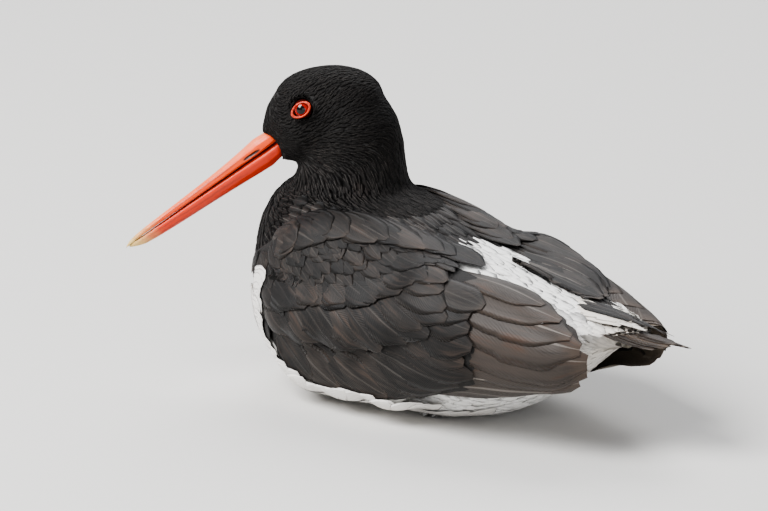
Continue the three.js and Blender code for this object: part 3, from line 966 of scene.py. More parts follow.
def lie(points: Array, normals: Array) -> Array:
    """The direction in which feathers point.

    Args:
        points: places on the skin, one in each row.
        normals: the directions in which it faces there.

    Returns:
        Unit directions in the surface: back along the body, down the neck, away from the bill.
    """
    x, z = points[:, 0:1] / MM, points[:, 2:3] / MM
    front = ramp(-62, -90, x)
    body = np.array([1.0, 0, -0.16]) * (1 - front) + np.array([0.35, 0, -1.0]) * front
    neck = np.array([0.35, 0, -1.0])
    head = unit(points - bill_base())
    on_neck = ramp(84, 100, z)
    on_head = ramp(34, 22, np.linalg.norm(points - HEAD_CENTRE, axis=1, keepdims=True) / MM)
    mixed = (body * (1 - on_neck) + neck * on_neck) * (1 - on_head) + head * on_head
    return along_surface(mixed, normals)


@dataclass(frozen=True)
class Zone:
    """One part of the coat: its feathers' size in metres, their spacing, and how high their tips stand."""

    name: str
    length: float
    width: float
    spacing: float
    tip_height: float
    tone: tuple[float, float] = (0.1, 0.6)
    stations: int = 5


class CoatPart(Enum):
    """The parts of the coat."""

    FACE = Zone("face", 2.8 * MM, 1.0 * MM, 0.72 * MM, 0.16 * MM, (0.0, 0.35), 4)
    HEAD = Zone("crown", 5.0 * MM, 1.6 * MM, 0.95 * MM, 0.22 * MM, (0.0, 0.4), 4)
    NECK = Zone("neck", 8.5 * MM, 2.6 * MM, 1.35 * MM, 0.35 * MM, (0.05, 0.5), 5)
    BREAST = Zone("breast", 10 * MM, 4.2 * MM, 1.9 * MM, 0.45 * MM, (0.05, 0.5), 5)
    BACK = Zone("mantle", 15 * MM, 8 * MM, 2.9 * MM, 0.6 * MM, (0.0, 0.5), 6)
    BELLY = Zone("belly", 12 * MM, 7 * MM, 2.6 * MM, 0.7 * MM, (0.2, 0.6), 5)
    RUMP = Zone("rump", 17 * MM, 9 * MM, 2.6 * MM, 0.6 * MM, (0.2, 0.6), 6)


def zone_of(points: Array) -> Array:
    """Tells the parts of the coat apart. The sizes below are in millimetres.

    Args:
        points: places on the skin, one in each row.

    Returns:
        The number of the part at each place, in the order of CoatPart.
    """
    x, _, z = (points[:, k] / MM for k in range(3))
    from_head = np.linalg.norm(points - HEAD_CENTRE, axis=1) / MM
    from_bill = np.linalg.norm(points - bill_base(), axis=1) / MM
    rules = [
        (from_bill < 17) & (z > 94),
        (from_head < 30) & (z > 103),
        z > 86,
        x < -62,
        (z > 62) & (x < 26),
        (z < 50) & (x < 72),
    ]
    return np.select(rules, range(len(rules)), len(rules))


@dataclass
class Skin:
    """The skin of head, neck and body in one piece, inside the outline by the coat's depth."""

    voxel: float = 1.5 * MM
    smoothing: int = 14
    coat_depth: float = 1.2 * MM
    face_share: float = 0.45  # of the coat's depth, beside the bill
    lowest: float = 0.2 * MM
    gape_depth: float = 4 * MM  # how far the face stands back at the corners of the bill
    pieces: list[bpy.types.Object] = field(default_factory=list)

    def build(self) -> None:
        """Makes the skin and gives it its markings."""
        piece = node_solid("skin", ["torso", "neck", "head"], self.voxel, self.smoothing, 0.0)
        points = mesh_points(piece.data)
        from_bill = np.linalg.norm(points - bill_base(), axis=1, keepdims=True) / MM
        depth = self.coat_depth * (self.face_share + (1 - self.face_share) * ramp(16, 26, from_bill))
        points = self.drawn_back(points - mesh_normals(piece.data) * depth)
        points[:, 2] = np.maximum(points[:, 2], self.lowest)
        piece.data.vertices.foreach_set("co", points.astype(np.float32).ravel())
        piece.data.update()
        add_values(piece.data, {"white": white_share(points)})
        self.pieces.append(piece)

    def drawn_back(self, points: Array) -> Array:
        """Moves the face's sides back from the bill, so that its corners show.

        Args:
            points: places on the skin, one in each row.

        Returns:
            The moved places.
        """
        bill, left, _ = head_axes()
        out = points - bill_base()
        ahead = out @ bill
        off = np.linalg.norm(out - ahead[:, None] * bill, axis=1)
        beside = np.clip(np.abs(out @ left) / np.maximum(off, 1e-6), 0, 1) ** 2
        near = ramp(-14, 0, ahead / MM) * ramp(16, 10, off / MM)
        return points - bill * (self.gape_depth * beside * near)[:, None]

    def dress(self) -> None:
        """Finish and body."""
        settle(self.pieces[0], SkinFinish("down").material(), "plumage", "torso", "neck", "head")


def settle(piece: bpy.types.Object, material: bpy.types.Material, slot: str, *nodes: str) -> None:
    """Gives a piece its finish, and fixes it to the bird.

    Args:
        piece: the piece.
        material: its finish.
        slot: not used.
        nodes: the frame's nodes that it stands for.
    """
    piece.data.materials.clear()
    piece.data.materials.append(material)
    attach(piece, "root")
    if nodes:
        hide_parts(*nodes)


@dataclass
class Coat:
    """The small feathers of head, neck and body, with bare places for the eyes and the bill.

    The arms are those of the wings, which hide the feathers under them.
    """

    skin: bpy.types.Object
    eyes: list["Eye"]
    arms: list[bpy.types.Object]
    root_depth: float = -0.3 * MM
    bare_from: float = -11 * MM  # along the bill's axis
    bare_radius: float = 6.0 * MM  # round it
    lowest: float = 0.4 * MM
    cover_reach: float = 0.02  # how far over the skin a wing still hides it
    velvet: tuple[CoatPart, ...] = (CoatPart.FACE, CoatPart.HEAD, CoatPart.NECK, CoatPart.BREAST)
    seeds: tuple[int, int, int] = (40, 60, 80)  # for the first part's places, lines and blades
    pieces: list[bpy.types.Object] = field(default_factory=list)

    def __post_init__(self) -> None:
        """Prepares the skin and the wings for searching."""
        self.surface = Surface(self.skin.data)
        self.covers = [Surface(arm.data).tree for arm in self.arms]

    def bare(self, points: Array) -> Array:
        """Finds the places without feathers.

        Args:
            points: places on the skin, one in each row.

        Returns:
            Which of them stay bare.
        """
        out = np.zeros(len(points), bool)
        for eye in self.eyes:
            out |= eye.opens(points)
        bill, _, _ = head_axes()
        ahead = (points - bill_base()) @ bill
        off_axis = np.linalg.norm(points - bill_base() - ahead[:, None] * bill, axis=1)
        return out | ((ahead > self.bare_from) & (off_axis < self.bare_radius))

    def hidden(self, points: Array, normals: Array) -> Array:
        """Finds the places under a wing.

        Args:
            points: places on the skin, one in each row.
            normals: the directions in which it faces there.

        Returns:
            Which of them are hidden.
        """
        out = np.zeros(len(points), bool)
        for i, (point, normal) in enumerate(zip(points, normals)):
            ray = Vector(point), Vector(normal), self.cover_reach
            out[i] = any(tree.ray_cast(*ray)[0] is not None for tree in self.covers)
        return out

    def lines(self, zone: Zone, places: Array, facing: Array, seed: int) -> Lines:
        """Lays out one part's feathers, curved with the body under them.

        Args:
            zone: the part.
            places: their roots, one in each row.
            facing: the directions in which the skin faces there.
            seed: for their unevenness.

        Returns:
            The feathers.
        """
        rng = np.random.default_rng(seed)
        count = len(places)
        heading = lie(places, facing)
        side = np.cross(facing, heading)
        heading = unit(heading + side * rng.normal(0, 0.09, (count, 1)))
        length = zone.length * rng.uniform(0.85, 1.15, (count, 1))
        middle, middle_facing = self.surface.nearest(places + heading * length * 0.5)
        tip, tip_facing = self.surface.nearest(places + heading * length)
        root = places + facing * self.root_depth
        rise = zone.tip_height * rng.uniform(0.75, 1.25, (count, 1))
        middle = middle + middle_facing * rise * 0.75
        tip = tip + tip_facing * rise
        bend = 2 * middle - (root + tip) / 2
        t = np.linspace(0, 1, zone.stations)[None, :, None]
        line = root[:, None] * (1 - t) ** 2 + 2 * bend[:, None] * t * (1 - t) + tip[:, None] * t**2
        faces = unit(facing[:, None] * (1 - t) + tip_facing[:, None] * t)
        tone = rng.uniform(*zone.tone, count)
        white = (white_share(places) > rng.uniform(0.25, 0.75, count)).astype(float)
        shaft = rng.uniform(0, 0.25, count) * (1 - white)
        width = zone.width * rng.uniform(0.85, 1.15, count)
        return Lines(line, faces, width, tone, white, shaft, soil_and_shade_share(places))

    def build(self) -> None:
        """Makes one piece for each part of the coat."""
        for number, part in enumerate(CoatPart):
            zone = part.value
            places_seed, lines_seed, blades_seed = (seed + number for seed in self.seeds)

            def wanted(points: Array, number: int = number) -> Array:
                """Places in this part that aren't bare."""
                return (zone_of(points) == number) & ~self.bare(points) & (points[:, 2] > self.lowest)

            places, facing = self.surface.scatter(zone.spacing, wanted, places_seed)
            seen = ~self.hidden(places, facing)
            lines = self.lines(zone, places[seen], facing[seen], lines_seed)
            blade = Blade(zone.stations, 3, SMALL_OUTLINE, camber=0.12, ridge=0.04, roughen=0.05)
            self.pieces.append(build_blades("plumage_" + zone.name, lines, blade, blades_seed))

    def dress(self) -> None:
        """Finish and body."""
        body = FeatherFinish(
            "body feathers",
            worn=rgb(0.026, 0.020, 0.017),
            edge_share=0.12,
            barbs=60,
            roughness=0.68,
            relief=0.3,
        ).material()
        velvet = FeatherFinish(
            "head feathers",
            worn=rgb(0.011, 0.0092, 0.0086),
            edge_share=0.0,
            rufous_share=0.2,
            barbs=40,
            roughness=0.75,
            relief=0.15,
            sheen=0.0,
            specular=0.2,
        ).material()
        for part, piece in zip(CoatPart, self.pieces):
            settle(piece, velvet if part in self.velvet else body, "plumage")


# Wings


@dataclass
class WingSurface:
    """The outside of a folded wing as a smooth sheet over x and the turn round the body.

    It is read off the frame's wing and body by rays towards the body's long axis, filled where no ray
    meets them, and smoothed. X and the sections are in millimetres, the turn is in degrees.
    """

    side: Side
    x_range: tuple[float, float] = (-84, 128)
    x_step: float = 2.0
    turn_range: tuple[float, float] = (-85, 98)
    turn_step: float = 2.5
    section_x: tuple[float, ...] = (30, 100, 122)
    section_half: tuple[float, ...] = (56, 43, 37)
    section_up: tuple[float, ...] = (40.5, 23, 16)
    section_down: tuple[float, ...] = (41, 26, 19)
    squareness: float = 2.3
    level: float = 43.5
    front_smoothing: int = 7
    rear_smoothing: int = 28

    def __post_init__(self) -> None:
        """Reads the wing of one side, and the body beside it."""
        self.xs = np.arange(*self.x_range, self.x_step)
        self.turns = np.arange(*self.turn_range, self.turn_step)
        wing, body = (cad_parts[name].data for name in ("wing_" + self.side.name.lower(), "torso"))
        points = np.concatenate([mesh_points(wing), mesh_points(body)])
        faces = np.concatenate([triangles(wing), triangles(body) + len(wing.vertices)])
        tree = BVHTree.FromPolygons(points.tolist(), faces.tolist())
        read = [[self.outermost(tree, x, turn) for turn in self.turns] for x in self.xs]
        full = self.filled(np.array(read))
        rear = ramp(20, 45, self.xs)[:, None]
        front = self.smoothed(full, self.front_smoothing)
        self.reach = front * (1 - rear) + self.smoothed(full, self.rear_smoothing) * rear

    def direction(self, x: Array, turn: Array) -> Array:
        """The way from the long axis outward, as long as the section's reach there.

        Args:
            x: in millimetres.
            turn: in degrees, up from the side.

        Returns:
            Rows of millimetres.
        """
        half = np.interp(x, self.section_x, self.section_half)
        up = np.interp(x, self.section_x, self.section_up)
        down = np.interp(x, self.section_x, self.section_down)
        angle = np.radians(turn)
        power = 2 / self.squareness
        out = half * np.abs(np.cos(angle)) ** power
        rise = np.where(angle > 0, up, down) * np.sign(np.sin(angle)) * np.abs(np.sin(angle)) ** power
        return np.stack([np.zeros_like(out), self.side.value * out, rise], -1)

    def outermost(self, tree: BVHTree, x: float, turn: float) -> float:
        """Finds the wing's surface from outside.

        Args:
            tree: the faces of wing and body.
            x: in millimetres.
            turn: in degrees.

        Returns:
            How far out it is, as a share of the section's own reach, or nan where there is none.
        """
        way = self.direction(np.array(x), np.array(turn)) * MM
        start = np.array([x, 0, self.level]) * MM + way * 2
        length = np.linalg.norm(way)
        hit, _, _, far = tree.ray_cast(Vector(start), Vector(-way), 1.6 * length)
        return math.nan if hit is None else 2 - far / length

    @staticmethod
    def filled(reach: Array, rounds: int = 60) -> Array:
        """Carries the sheet on where no ray met the wing.

        Args:
            reach: the sheet, with nan where it isn't known.
            rounds: how many steps of the grid it is carried on.

        Returns:
            The whole sheet.
        """
        known = ~np.isnan(reach)
        out = np.where(known, reach, 0.0)
        spread, total = out.copy(), known.astype(float)
        for _ in range(rounds):
            near = [np.roll(spread, s, a) for a in (0, 1) for s in (-1, 1)]
            near_weight = [np.roll(total, s, a) for a in (0, 1) for s in (-1, 1)]
            total = np.where(known, 1.0, sum(near_weight) / 4)
            spread = np.where(known, out, sum(near) / 4)
        return np.where(known, out, spread / np.maximum(total, 1e-9))

    @staticmethod
    def smoothed(reach: Array, rounds: int) -> Array:
        """Evens out the steps between the solids' feathers.

        Args:
            reach: the sheet.
            rounds: how many times it is smoothed.

        Returns:
            The smoother sheet.
        """
        for _ in range(rounds):
            padded = np.pad(reach, 1, mode="edge")
            ring = padded[:-2, 1:-1] + padded[2:, 1:-1] + padded[1:-1, :-2] + padded[1:-1, 2:]
            reach = 0.4 * reach + 0.15 * ring
        return reach

    def at(self, x: Array, turn: Array) -> Array:
        """Finds places on the sheet.

        Args:
            x: in millimetres.
            turn: in degrees.

        Returns:
            The places, in metres.
        """
        i = np.clip((x - self.xs[0]) / self.x_step, 0, len(self.xs) - 1.001)
        j = np.clip((turn - self.turns[0]) / self.turn_step, 0, len(self.turns) - 1.001)
        m, n = i.astype(int), j.astype(int)
        a, b = i - m, j - n
        low = self.reach[m, n] * (1 - b) + self.reach[m, n + 1] * b
        high = self.reach[m + 1, n] * (1 - b) + self.reach[m + 1, n + 1] * b
        reach = (low * (1 - a) + high * a)[..., None]
        axis = np.stack([x, np.zeros_like(x), np.full_like(x, self.level)], -1)
        return (axis + self.direction(x, turn) * reach) * MM

    def facing(self, x: Array, turn: Array) -> Array:
        """Finds the way the sheet faces.

        Args:
            x: in millimetres.
            turn: in degrees.

        Returns:
            Unit directions outward.
        """
        ahead = self.at(x + 2.5, turn) - self.at(x - 2.5, turn)
        up = self.at(x, turn + 3) - self.at(x, turn - 3)
        return unit(np.cross(up, ahead)) * self.side.value

    def drape(self, lines: WingLines, sideways: Array, spread: Array, rise: Array) -> Array:
        """Lays feathers over the sheet, out to the sides of their middle lines.

        Args:
            lines: the feathers.
            sideways: the direction across each feather at each of its stations.
            spread: how far across each place lies, in metres.
            rise: how far each place lies over the feather's own middle, in metres.

        Returns:
            The places, in metres.
        """
        x, turn, height = (lines.grid[..., k] for k in range(3))
        along = (self.at(x + 1, turn) - self.at(x - 1, turn)) / 2
        up = (self.at(x, turn + 1) - self.at(x, turn - 1)) / 2
        aa, uu, au = ((v * w).sum(-1) for v, w in ((along, along), (up, up), (along, up)))
        sa, su = (sideways * along).sum(-1), (sideways * up).sum(-1)
        share = aa * uu - au * au
        x = x[..., None] + ((sa * uu - su * au) / share)[..., None] * spread
        turn = turn[..., None] + ((su * aa - sa * au) / share)[..., None] * spread
        tilted = lines.tilt[:, None, None] * self.side.value * spread
        return self.at(x, turn) + self.facing(x, turn) * (height[..., None] + rise + tilted)[..., None]


@dataclass(frozen=True)
class Tier:
    """A row of wing feathers from its top to its lowest.

    Roots and tips are given in even steps: x in millimetres and the turn round the body in degrees.
    Lift is the tips' height over the wing's sheet and sink how much deeper the roots lie, both in
    millimetres. Tilt raises the lower edges, and unevenness shifts the tips by chance, in millimetres.
    """

    count: int
    root_x: tuple[float, ...]
    root_turn: tuple[float, ...]
    tip_x: tuple[float, ...]
    tip_turn: tuple[float, ...]
    width: float
    lift: float
    sink: float
    tilt: float
    tone: tuple[float, float]
    shaft: tuple[float, float] = (0.0, 0.3)
    unevenness: float = 1.5
    white: float = 0.0


FLIGHT = Tier(
    count=9,
    root_x=(36, 42, 46, 44, 38),
    root_turn=(60, 36, 8, -18, -36),
    tip_x=(86, 109, 117, 114, 94),
    tip_turn=(58, 38, 8, -20, -41),
    width=26 * MM,
    lift=-0.5,
    sink=2.2,
    tilt=0.045,
    tone=(0.7, 1.0),
    shaft=(0.1, 0.5),
    unevenness=1.0,
)
GREATER = Tier(
    count=13,
    root_x=(26, 26, 8, -24, -52),
    root_turn=(40, 16, -4, -14, -12),
    tip_x=(62, 68, 56, 20, -26),
    tip_turn=(36, 4, -24, -38, -37),
    width=19 * MM,
    lift=-0.1,
    sink=2.0,
    tilt=0.045,
    tone=(0.2, 0.55),
    shaft=(0.0, 0.12),
    unevenness=2.5,
)
MEDIAN = Tier(
    count=15,
    root_x=(10, 8, -14, -42, -60),
    root_turn=(50, 32, 20, 15, 10),
    tip_x=(46, 48, 24, -8, -34),
    tip_turn=(42, 14, -4, -10, -14),
    width=18 * MM,
    lift=0.25,
    sink=2.0,
    tilt=0.045,
    tone=(0.05, 0.45),
    shaft=(0.0, 0.08),
    unevenness=3.0,
)
LESSER = Tier(
    count=17,
    root_x=(-4, -8, -26, -50, -66),
    root_turn=(60, 42, 32, 28, 22),
    tip_x=(28, 26, 4, -22, -44),
    tip_turn=(54, 28, 13, 8, 2),
    width=16 * MM,
    lift=0.45,
    sink=2.0,
    tilt=0.045,
    tone=(0.0, 0.4),
    shaft=(0.0, 0.05),
    unevenness=3.5,
)
SCAPULAR = Tier(
    count=15,
    root_x=(8, -12, -32, -48, -60),
    root_turn=(76, 72, 66, 58, 44),
    tip_x=(37, 22, 0, -22, -42),
    tip_turn=(70, 65, 58, 50, 38),
    width=16 * MM,
    lift=0.75,
    sink=3.0,
    tilt=0.03,
    tone=(0.1, 0.55),
    shaft=(0.0, 0.12),
    unevenness=4.0,
)
TERTIAL = Tier(
    count=12,
    root_x=(46, 42, 34, 24),
    root_turn=(86, 80, 70, 60),
    tip_x=(94, 90, 80, 66),
    tip_turn=(80, 72, 60, 48),
    width=18 * MM,
    lift=0.9,
    sink=2.6,
    tilt=0.04,
    tone=(0.1, 0.6),
    shaft=(0.0, 0.3),
    unevenness=2.5,
)
FLANK = Tier(
    count=36,
    root_x=(12, 0, -22, -38, -54, -66, -74, -76, -75, -73),
    root_turn=(-62, -56, -54, -56, -54, -46, -34, -18, -2, 10),
    tip_x=(38, 22, 0, -18, -34, -48, -58, -60, -56, -55),
    tip_turn=(-52, -41, -39, -41, -37, -29, -20, -5, 8, 19),
    width=10 * MM,
    lift=0.9,
    sink=2.4,
    tilt=-0.05,
    tone=(0.2, 0.6),
    shaft=(0.0, 0.0),
    unevenness=1.2,
    white=1.0,
)
LOW_FLANK = Tier(
    count=30,
    root_x=(24, 0, -24, -46, -64, -76, -80, -80),
    root_turn=(-84, -78, -72, -68, -60, -46, -28, -10),
    tip_x=(52, 26, -2, -24, -44, -60, -70, -68),
    tip_turn=(-68, -60, -53, -53, -46, -34, -16, 0),
    width=12 * MM,
    lift=0.5,
    sink=2.4,
    tilt=-0.05,
    tone=(0.2, 0.6),
    shaft=(0.0, 0.0),
    unevenness=2.0,
    white=1.0,
)
# Ahead of this edge white feathers hide the folded wing: turns in degrees, and x there in millimetres.
DARK_EDGE = (
    (-60, -54, -41, -40, -38, -36, -28, -24, -18, -5, 3, 12, 20, 27),
    (45, 39, 26, 0, -26, -38, -51, -58, -61, -60, -54, -51, -53, -90),
)
# The arm's plate: x of its ends, and the turns of its edges in even steps.
ARM_X = (-77, 85)
ARM_LOW = (-20, -47, -48, -38, -28)
ARM_HIGH = (30, 53, 64, 60, 48)
FREE_X = 86.0  # beyond this the flight feathers stand clear of the arm, in millimetres
FREE_SHARE = {Side.LEFT: 1.0, Side.RIGHT: 0.8}  # how much of that length each wing shows
WING_SEEDS = {Side.LEFT: 200, Side.RIGHT: 300}
TIER_GROUPS = {
    "coverts": (GREATER, MEDIAN, LESSER),
    "scapulars": (SCAPULAR,),
    "tertials": (TERTIAL,),
    "flank_plumage": (LOW_FLANK, FLANK),
}


@dataclass
class Wing:
    """One folded wing: its arm, its rows of feathers and the small coverts in front."""

    side: Side
    flight_blade: Blade = Blade(
        stations=48,
        columns=9,
        outline=(0.3, 0.62, 0.86, 1.0, 1.0, 0.9, 0.25),
        camber=0.02,
        thickness=0.15 * MM,
        ridge=0.02,
        splits=0.08,
        roughen=0.004,
    )
    worn_blade: Blade = Blade(
        stations=48,
        columns=9,
        outline=(0.3, 0.62, 0.86, 1.0, 1.0, 0.96, 0.7),
        camber=0.02,
        thickness=0.15 * MM,
        ridge=0.02,
        splits=0.2,
        roughen=0.01,
    )
    covert_blade: Blade = Blade(
        stations=24,
        columns=7,
        outline=(0.4, 0.8, 1.0, 1.0, 0.85, 0.2),
        camber=0.025,
        thickness=0.12 * MM,
        ridge=0.015,
        splits=0.1,
        roughen=0.008,
    )
    small: Zone = Zone(
        name="small",
        length=15 * MM,
        width=9 * MM,
        spacing=3.8 * MM,
        tip_height=0.55 * MM,
        tone=(0.0, 0.45),
        stations=7,
    )
    small_tries: int = 9000
    small_range: tuple[tuple[float, float], ...] = ((-80, 26), (-54, 70))  # of x, and of the turn
    arm_grid: tuple[int, int] = (96, 64)
    arm_depth: float = 1.3 * MM  # under the sheet
    arm_edge: float = 0.3  # the plate's thickness at its edges, in millimetres
    arm_swell: float = 1.5  # how much thicker it is in its middle
    pieces: list[bpy.types.Object] = field(default_factory=list)

    def __post_init__(self) -> None:
        """Reads the wing's sheet."""
        self.name = self.side.name.lower()
        self.seed = WING_SEEDS[self.side]
        self.surface = WingSurface(self.side)

    def lines(self, tier: Tier, stations: int, seed: int) -> WingLines:
        """Lays out a tier's feathers.

        Args:
            tier: the row.
            stations: how many places each feather has along it.
            seed: for their unevenness.

        Returns:
            The feathers.
        """
        rng = np.random.default_rng(seed)
        share = np.linspace(0, 1, tier.count)
        uneven = rng.normal(0, tier.unevenness, tier.count)
        tip_x = through(tier.tip_x, share) + uneven
        free = FREE_X + (tip_x - FREE_X) * FREE_SHARE[self.side]
        tip_x = np.where(tip_x > FREE_X, free, tip_x)[:, None]
        tip_turn = (through(tier.tip_turn, share) + rng.normal(0, 0.8, tier.count))[:, None]
        root_x = through(tier.root_x, share)[:, None]
        root_turn = through(tier.root_turn, share)[:, None]
        t = np.linspace(0, 1, stations)[None, :]
        x = root_x + (tip_x - root_x) * t
        turn = root_turn + (tip_turn - root_turn) * t
        lift = rng.normal(0, 0.06, (tier.count, 1)) * t
        height = (tier.lift - tier.sink * (1 - t) ** 2.5 + lift) * MM
        tone = rng.uniform(*tier.tone, tier.count)
        shaft = rng.uniform(*tier.shaft, tier.count)
        white = np.full(tier.count, tier.white)
        width = tier.width * rng.uniform(0.94, 1.06, tier.count)
        return self.laid((x, turn, height), width, tier.tilt, tone, white, shaft * (1 - white))

    def laid(
        self,
        grid: tuple[Array, Array, Array],
        width: Array,
        tilt: float,
        tone: Array,
        white: Array,
        shaft: Array,
    ) -> WingLines:
        """Puts feathers over the sheet.

        Args:
            grid: x in millimetres, the turn in degrees and the height over the sheet in metres.
            width: of each feather at its widest.
            tilt: how much higher the lower edges lie.
            tone: of each feather, from dark to worn.
            white: from 0 to 1.
            shaft: how pale each shaft is.

        Returns:
            The feathers.
        """
        x, turn, height = grid
        facing = self.surface.facing(x, turn)
        middle = self.surface.at(x, turn) + facing * height[..., None]
        tilts = np.full(len(x), tilt)
        return WingLines(middle, facing, width, tone, white, shaft, 0.15 * white, np.stack(grid, -1), tilts)

    def arm(self) -> bpy.types.Object:
        """Makes the wing's flesh: a closed curved plate under the feathers, thin at its edges.

        Returns:
            The arm.
        """
        share = np.linspace(0, 1, self.arm_grid[0])[:, None]
        across = np.linspace(0, 1, self.arm_grid[1])[None, :]
        x = ARM_X[0] + (ARM_X[1] - ARM_X[0]) * share + np.zeros_like(across)
        low = through(ARM_LOW, share)
        turn = low + (through(ARM_HIGH, share) - low) * across
        middle = 1 - np.maximum(np.abs(2 * across - 1), np.abs(2 * share - 1)) ** 6
        facing = self.surface.facing(x, turn)
        outer = self.surface.at(x, turn) - facing * self.arm_depth
        inner = outer - facing * ((self.arm_edge + self.arm_swell * middle) * MM)[..., None]
        points, faces = plate(outer, inner)
        white = np.tile(ramp(1.5, -1.5, x - np.interp(turn, *DARK_EDGE)).ravel(), 2)
        faces = faces if self.side is Side.RIGHT else faces[:, ::-1]
        return make_object("arm_" + self.name, points, faces, {"white": white})

    def small_coverts(self, seed: int) -> WingLines:
        """Scatters lesser coverts over the wing's front and top.

        Args:
            seed: for the random numbers.

        Returns:
            The feathers.
        """
        rng = np.random.default_rng(seed)
        small = self.small
        x, turn = (rng.uniform(*limits, self.small_tries) for limits in self.small_range)
        high = through(ARM_HIGH, (x - ARM_X[0]) / (ARM_X[1] - ARM_X[0]))
        border = np.interp(x, [-60, -42, -16, 2, 20], [6, 16, 24, 36, 58])
        low = np.where(x < -60, -20, border)
        use = (turn > low) & (turn < high) & (x > np.maximum(np.interp(turn, *DARK_EDGE), ARM_X[0]))
        x, turn = x[use], turn[use]
        kept = thin_out(self.surface.at(x, turn), small.spacing)
        x, turn = x[kept][:, None], turn[kept][:, None]
        t = np.linspace(0, 1, small.stations)[None, :]
        front = np.interp(x, [-78, -50], [0.7, 1.0])
        length = small.length / MM * rng.uniform(0.85, 1.15, x.shape) * front
        drop = np.interp(x, [-78, -30, 10], [-1.2, -0.75, -0.3]) + rng.normal(0, 0.08, x.shape)
        xs = x + length * t * np.cos(drop)
        turns = turn + length * t * np.sin(drop) * 1.05
        rise = small.tip_height / MM * (1 - (1 - t) ** 2)
        height = (rise - 0.3 + rng.normal(0, 0.03, x.shape)) * MM
        count = len(x)
        width = small.width * rng.uniform(0.85, 1.15, count)
        tone = rng.uniform(*small.tone, count)
        shaft = rng.uniform(0, 0.1, count)
        return self.laid((xs, turns, height), width, 0.02, tone, np.zeros(count), shaft)

    def add_feathers(self, kind: str, lines: WingLines, blade: Blade, seed: int) -> None:
        """Makes one piece of feathers that follow the sheet.

        Args:
            kind: the first part of the piece's name.
            lines: where they lie.
            blade: their form.
            seed: for their splits and unevenness.
        """
        self.pieces.append(build_blades(f"{kind}_{self.name}", lines, blade, seed, self.surface))

    def build(self) -> None:
        """Makes the arm and every row."""
        self.pieces.append(self.arm())
        flight = self.lines(FLIGHT, self.flight_blade.stations, self.seed)
        blade = self.flight_blade
        if self.side is Side.RIGHT:
            # Painted light: the far wing's lower flight feathers take some brownish white, partly their worn
            # brown and partly lightening for the light they lack in the shade under the tail.
            flight.white = 0.25 * ramp(3, 5, np.arange(FLIGHT.count))
            flight.soil_and_painted_light = np.ones(FLIGHT.count)
            blade = self.worn_blade
        self.add_feathers("flight_feathers", flight, blade, self.seed + 1)
        for group, tiers in TIER_GROUPS.items():
            if group != "tertials" or self.side is Side.RIGHT:
                stations = self.covert_blade.stations
                rows = [self.lines(tier, stations, self.seed + 2 + k) for k, tier in enumerate(tiers)]
                self.add_feathers(group, WingLines.join(rows), self.covert_blade, self.seed + 7)
        blade = Blade(self.small.stations, 5, SMALL_OUTLINE, camber=0.03, ridge=0.01, roughen=0.03)
        self.add_feathers("small_coverts", self.small_coverts(self.seed + 8), blade, self.seed + 9)

    def dress(self) -> None:
        """Finish and body."""
        arm, *feathers = self.pieces
        settle(arm, SkinFinish("wing down " + self.name).material(), "wing_plumage", "wing_" + self.name)
        material = FeatherFinish("wing feathers " + self.name).material()
        for piece in feathers:
            settle(piece, material, "wing_plumage")


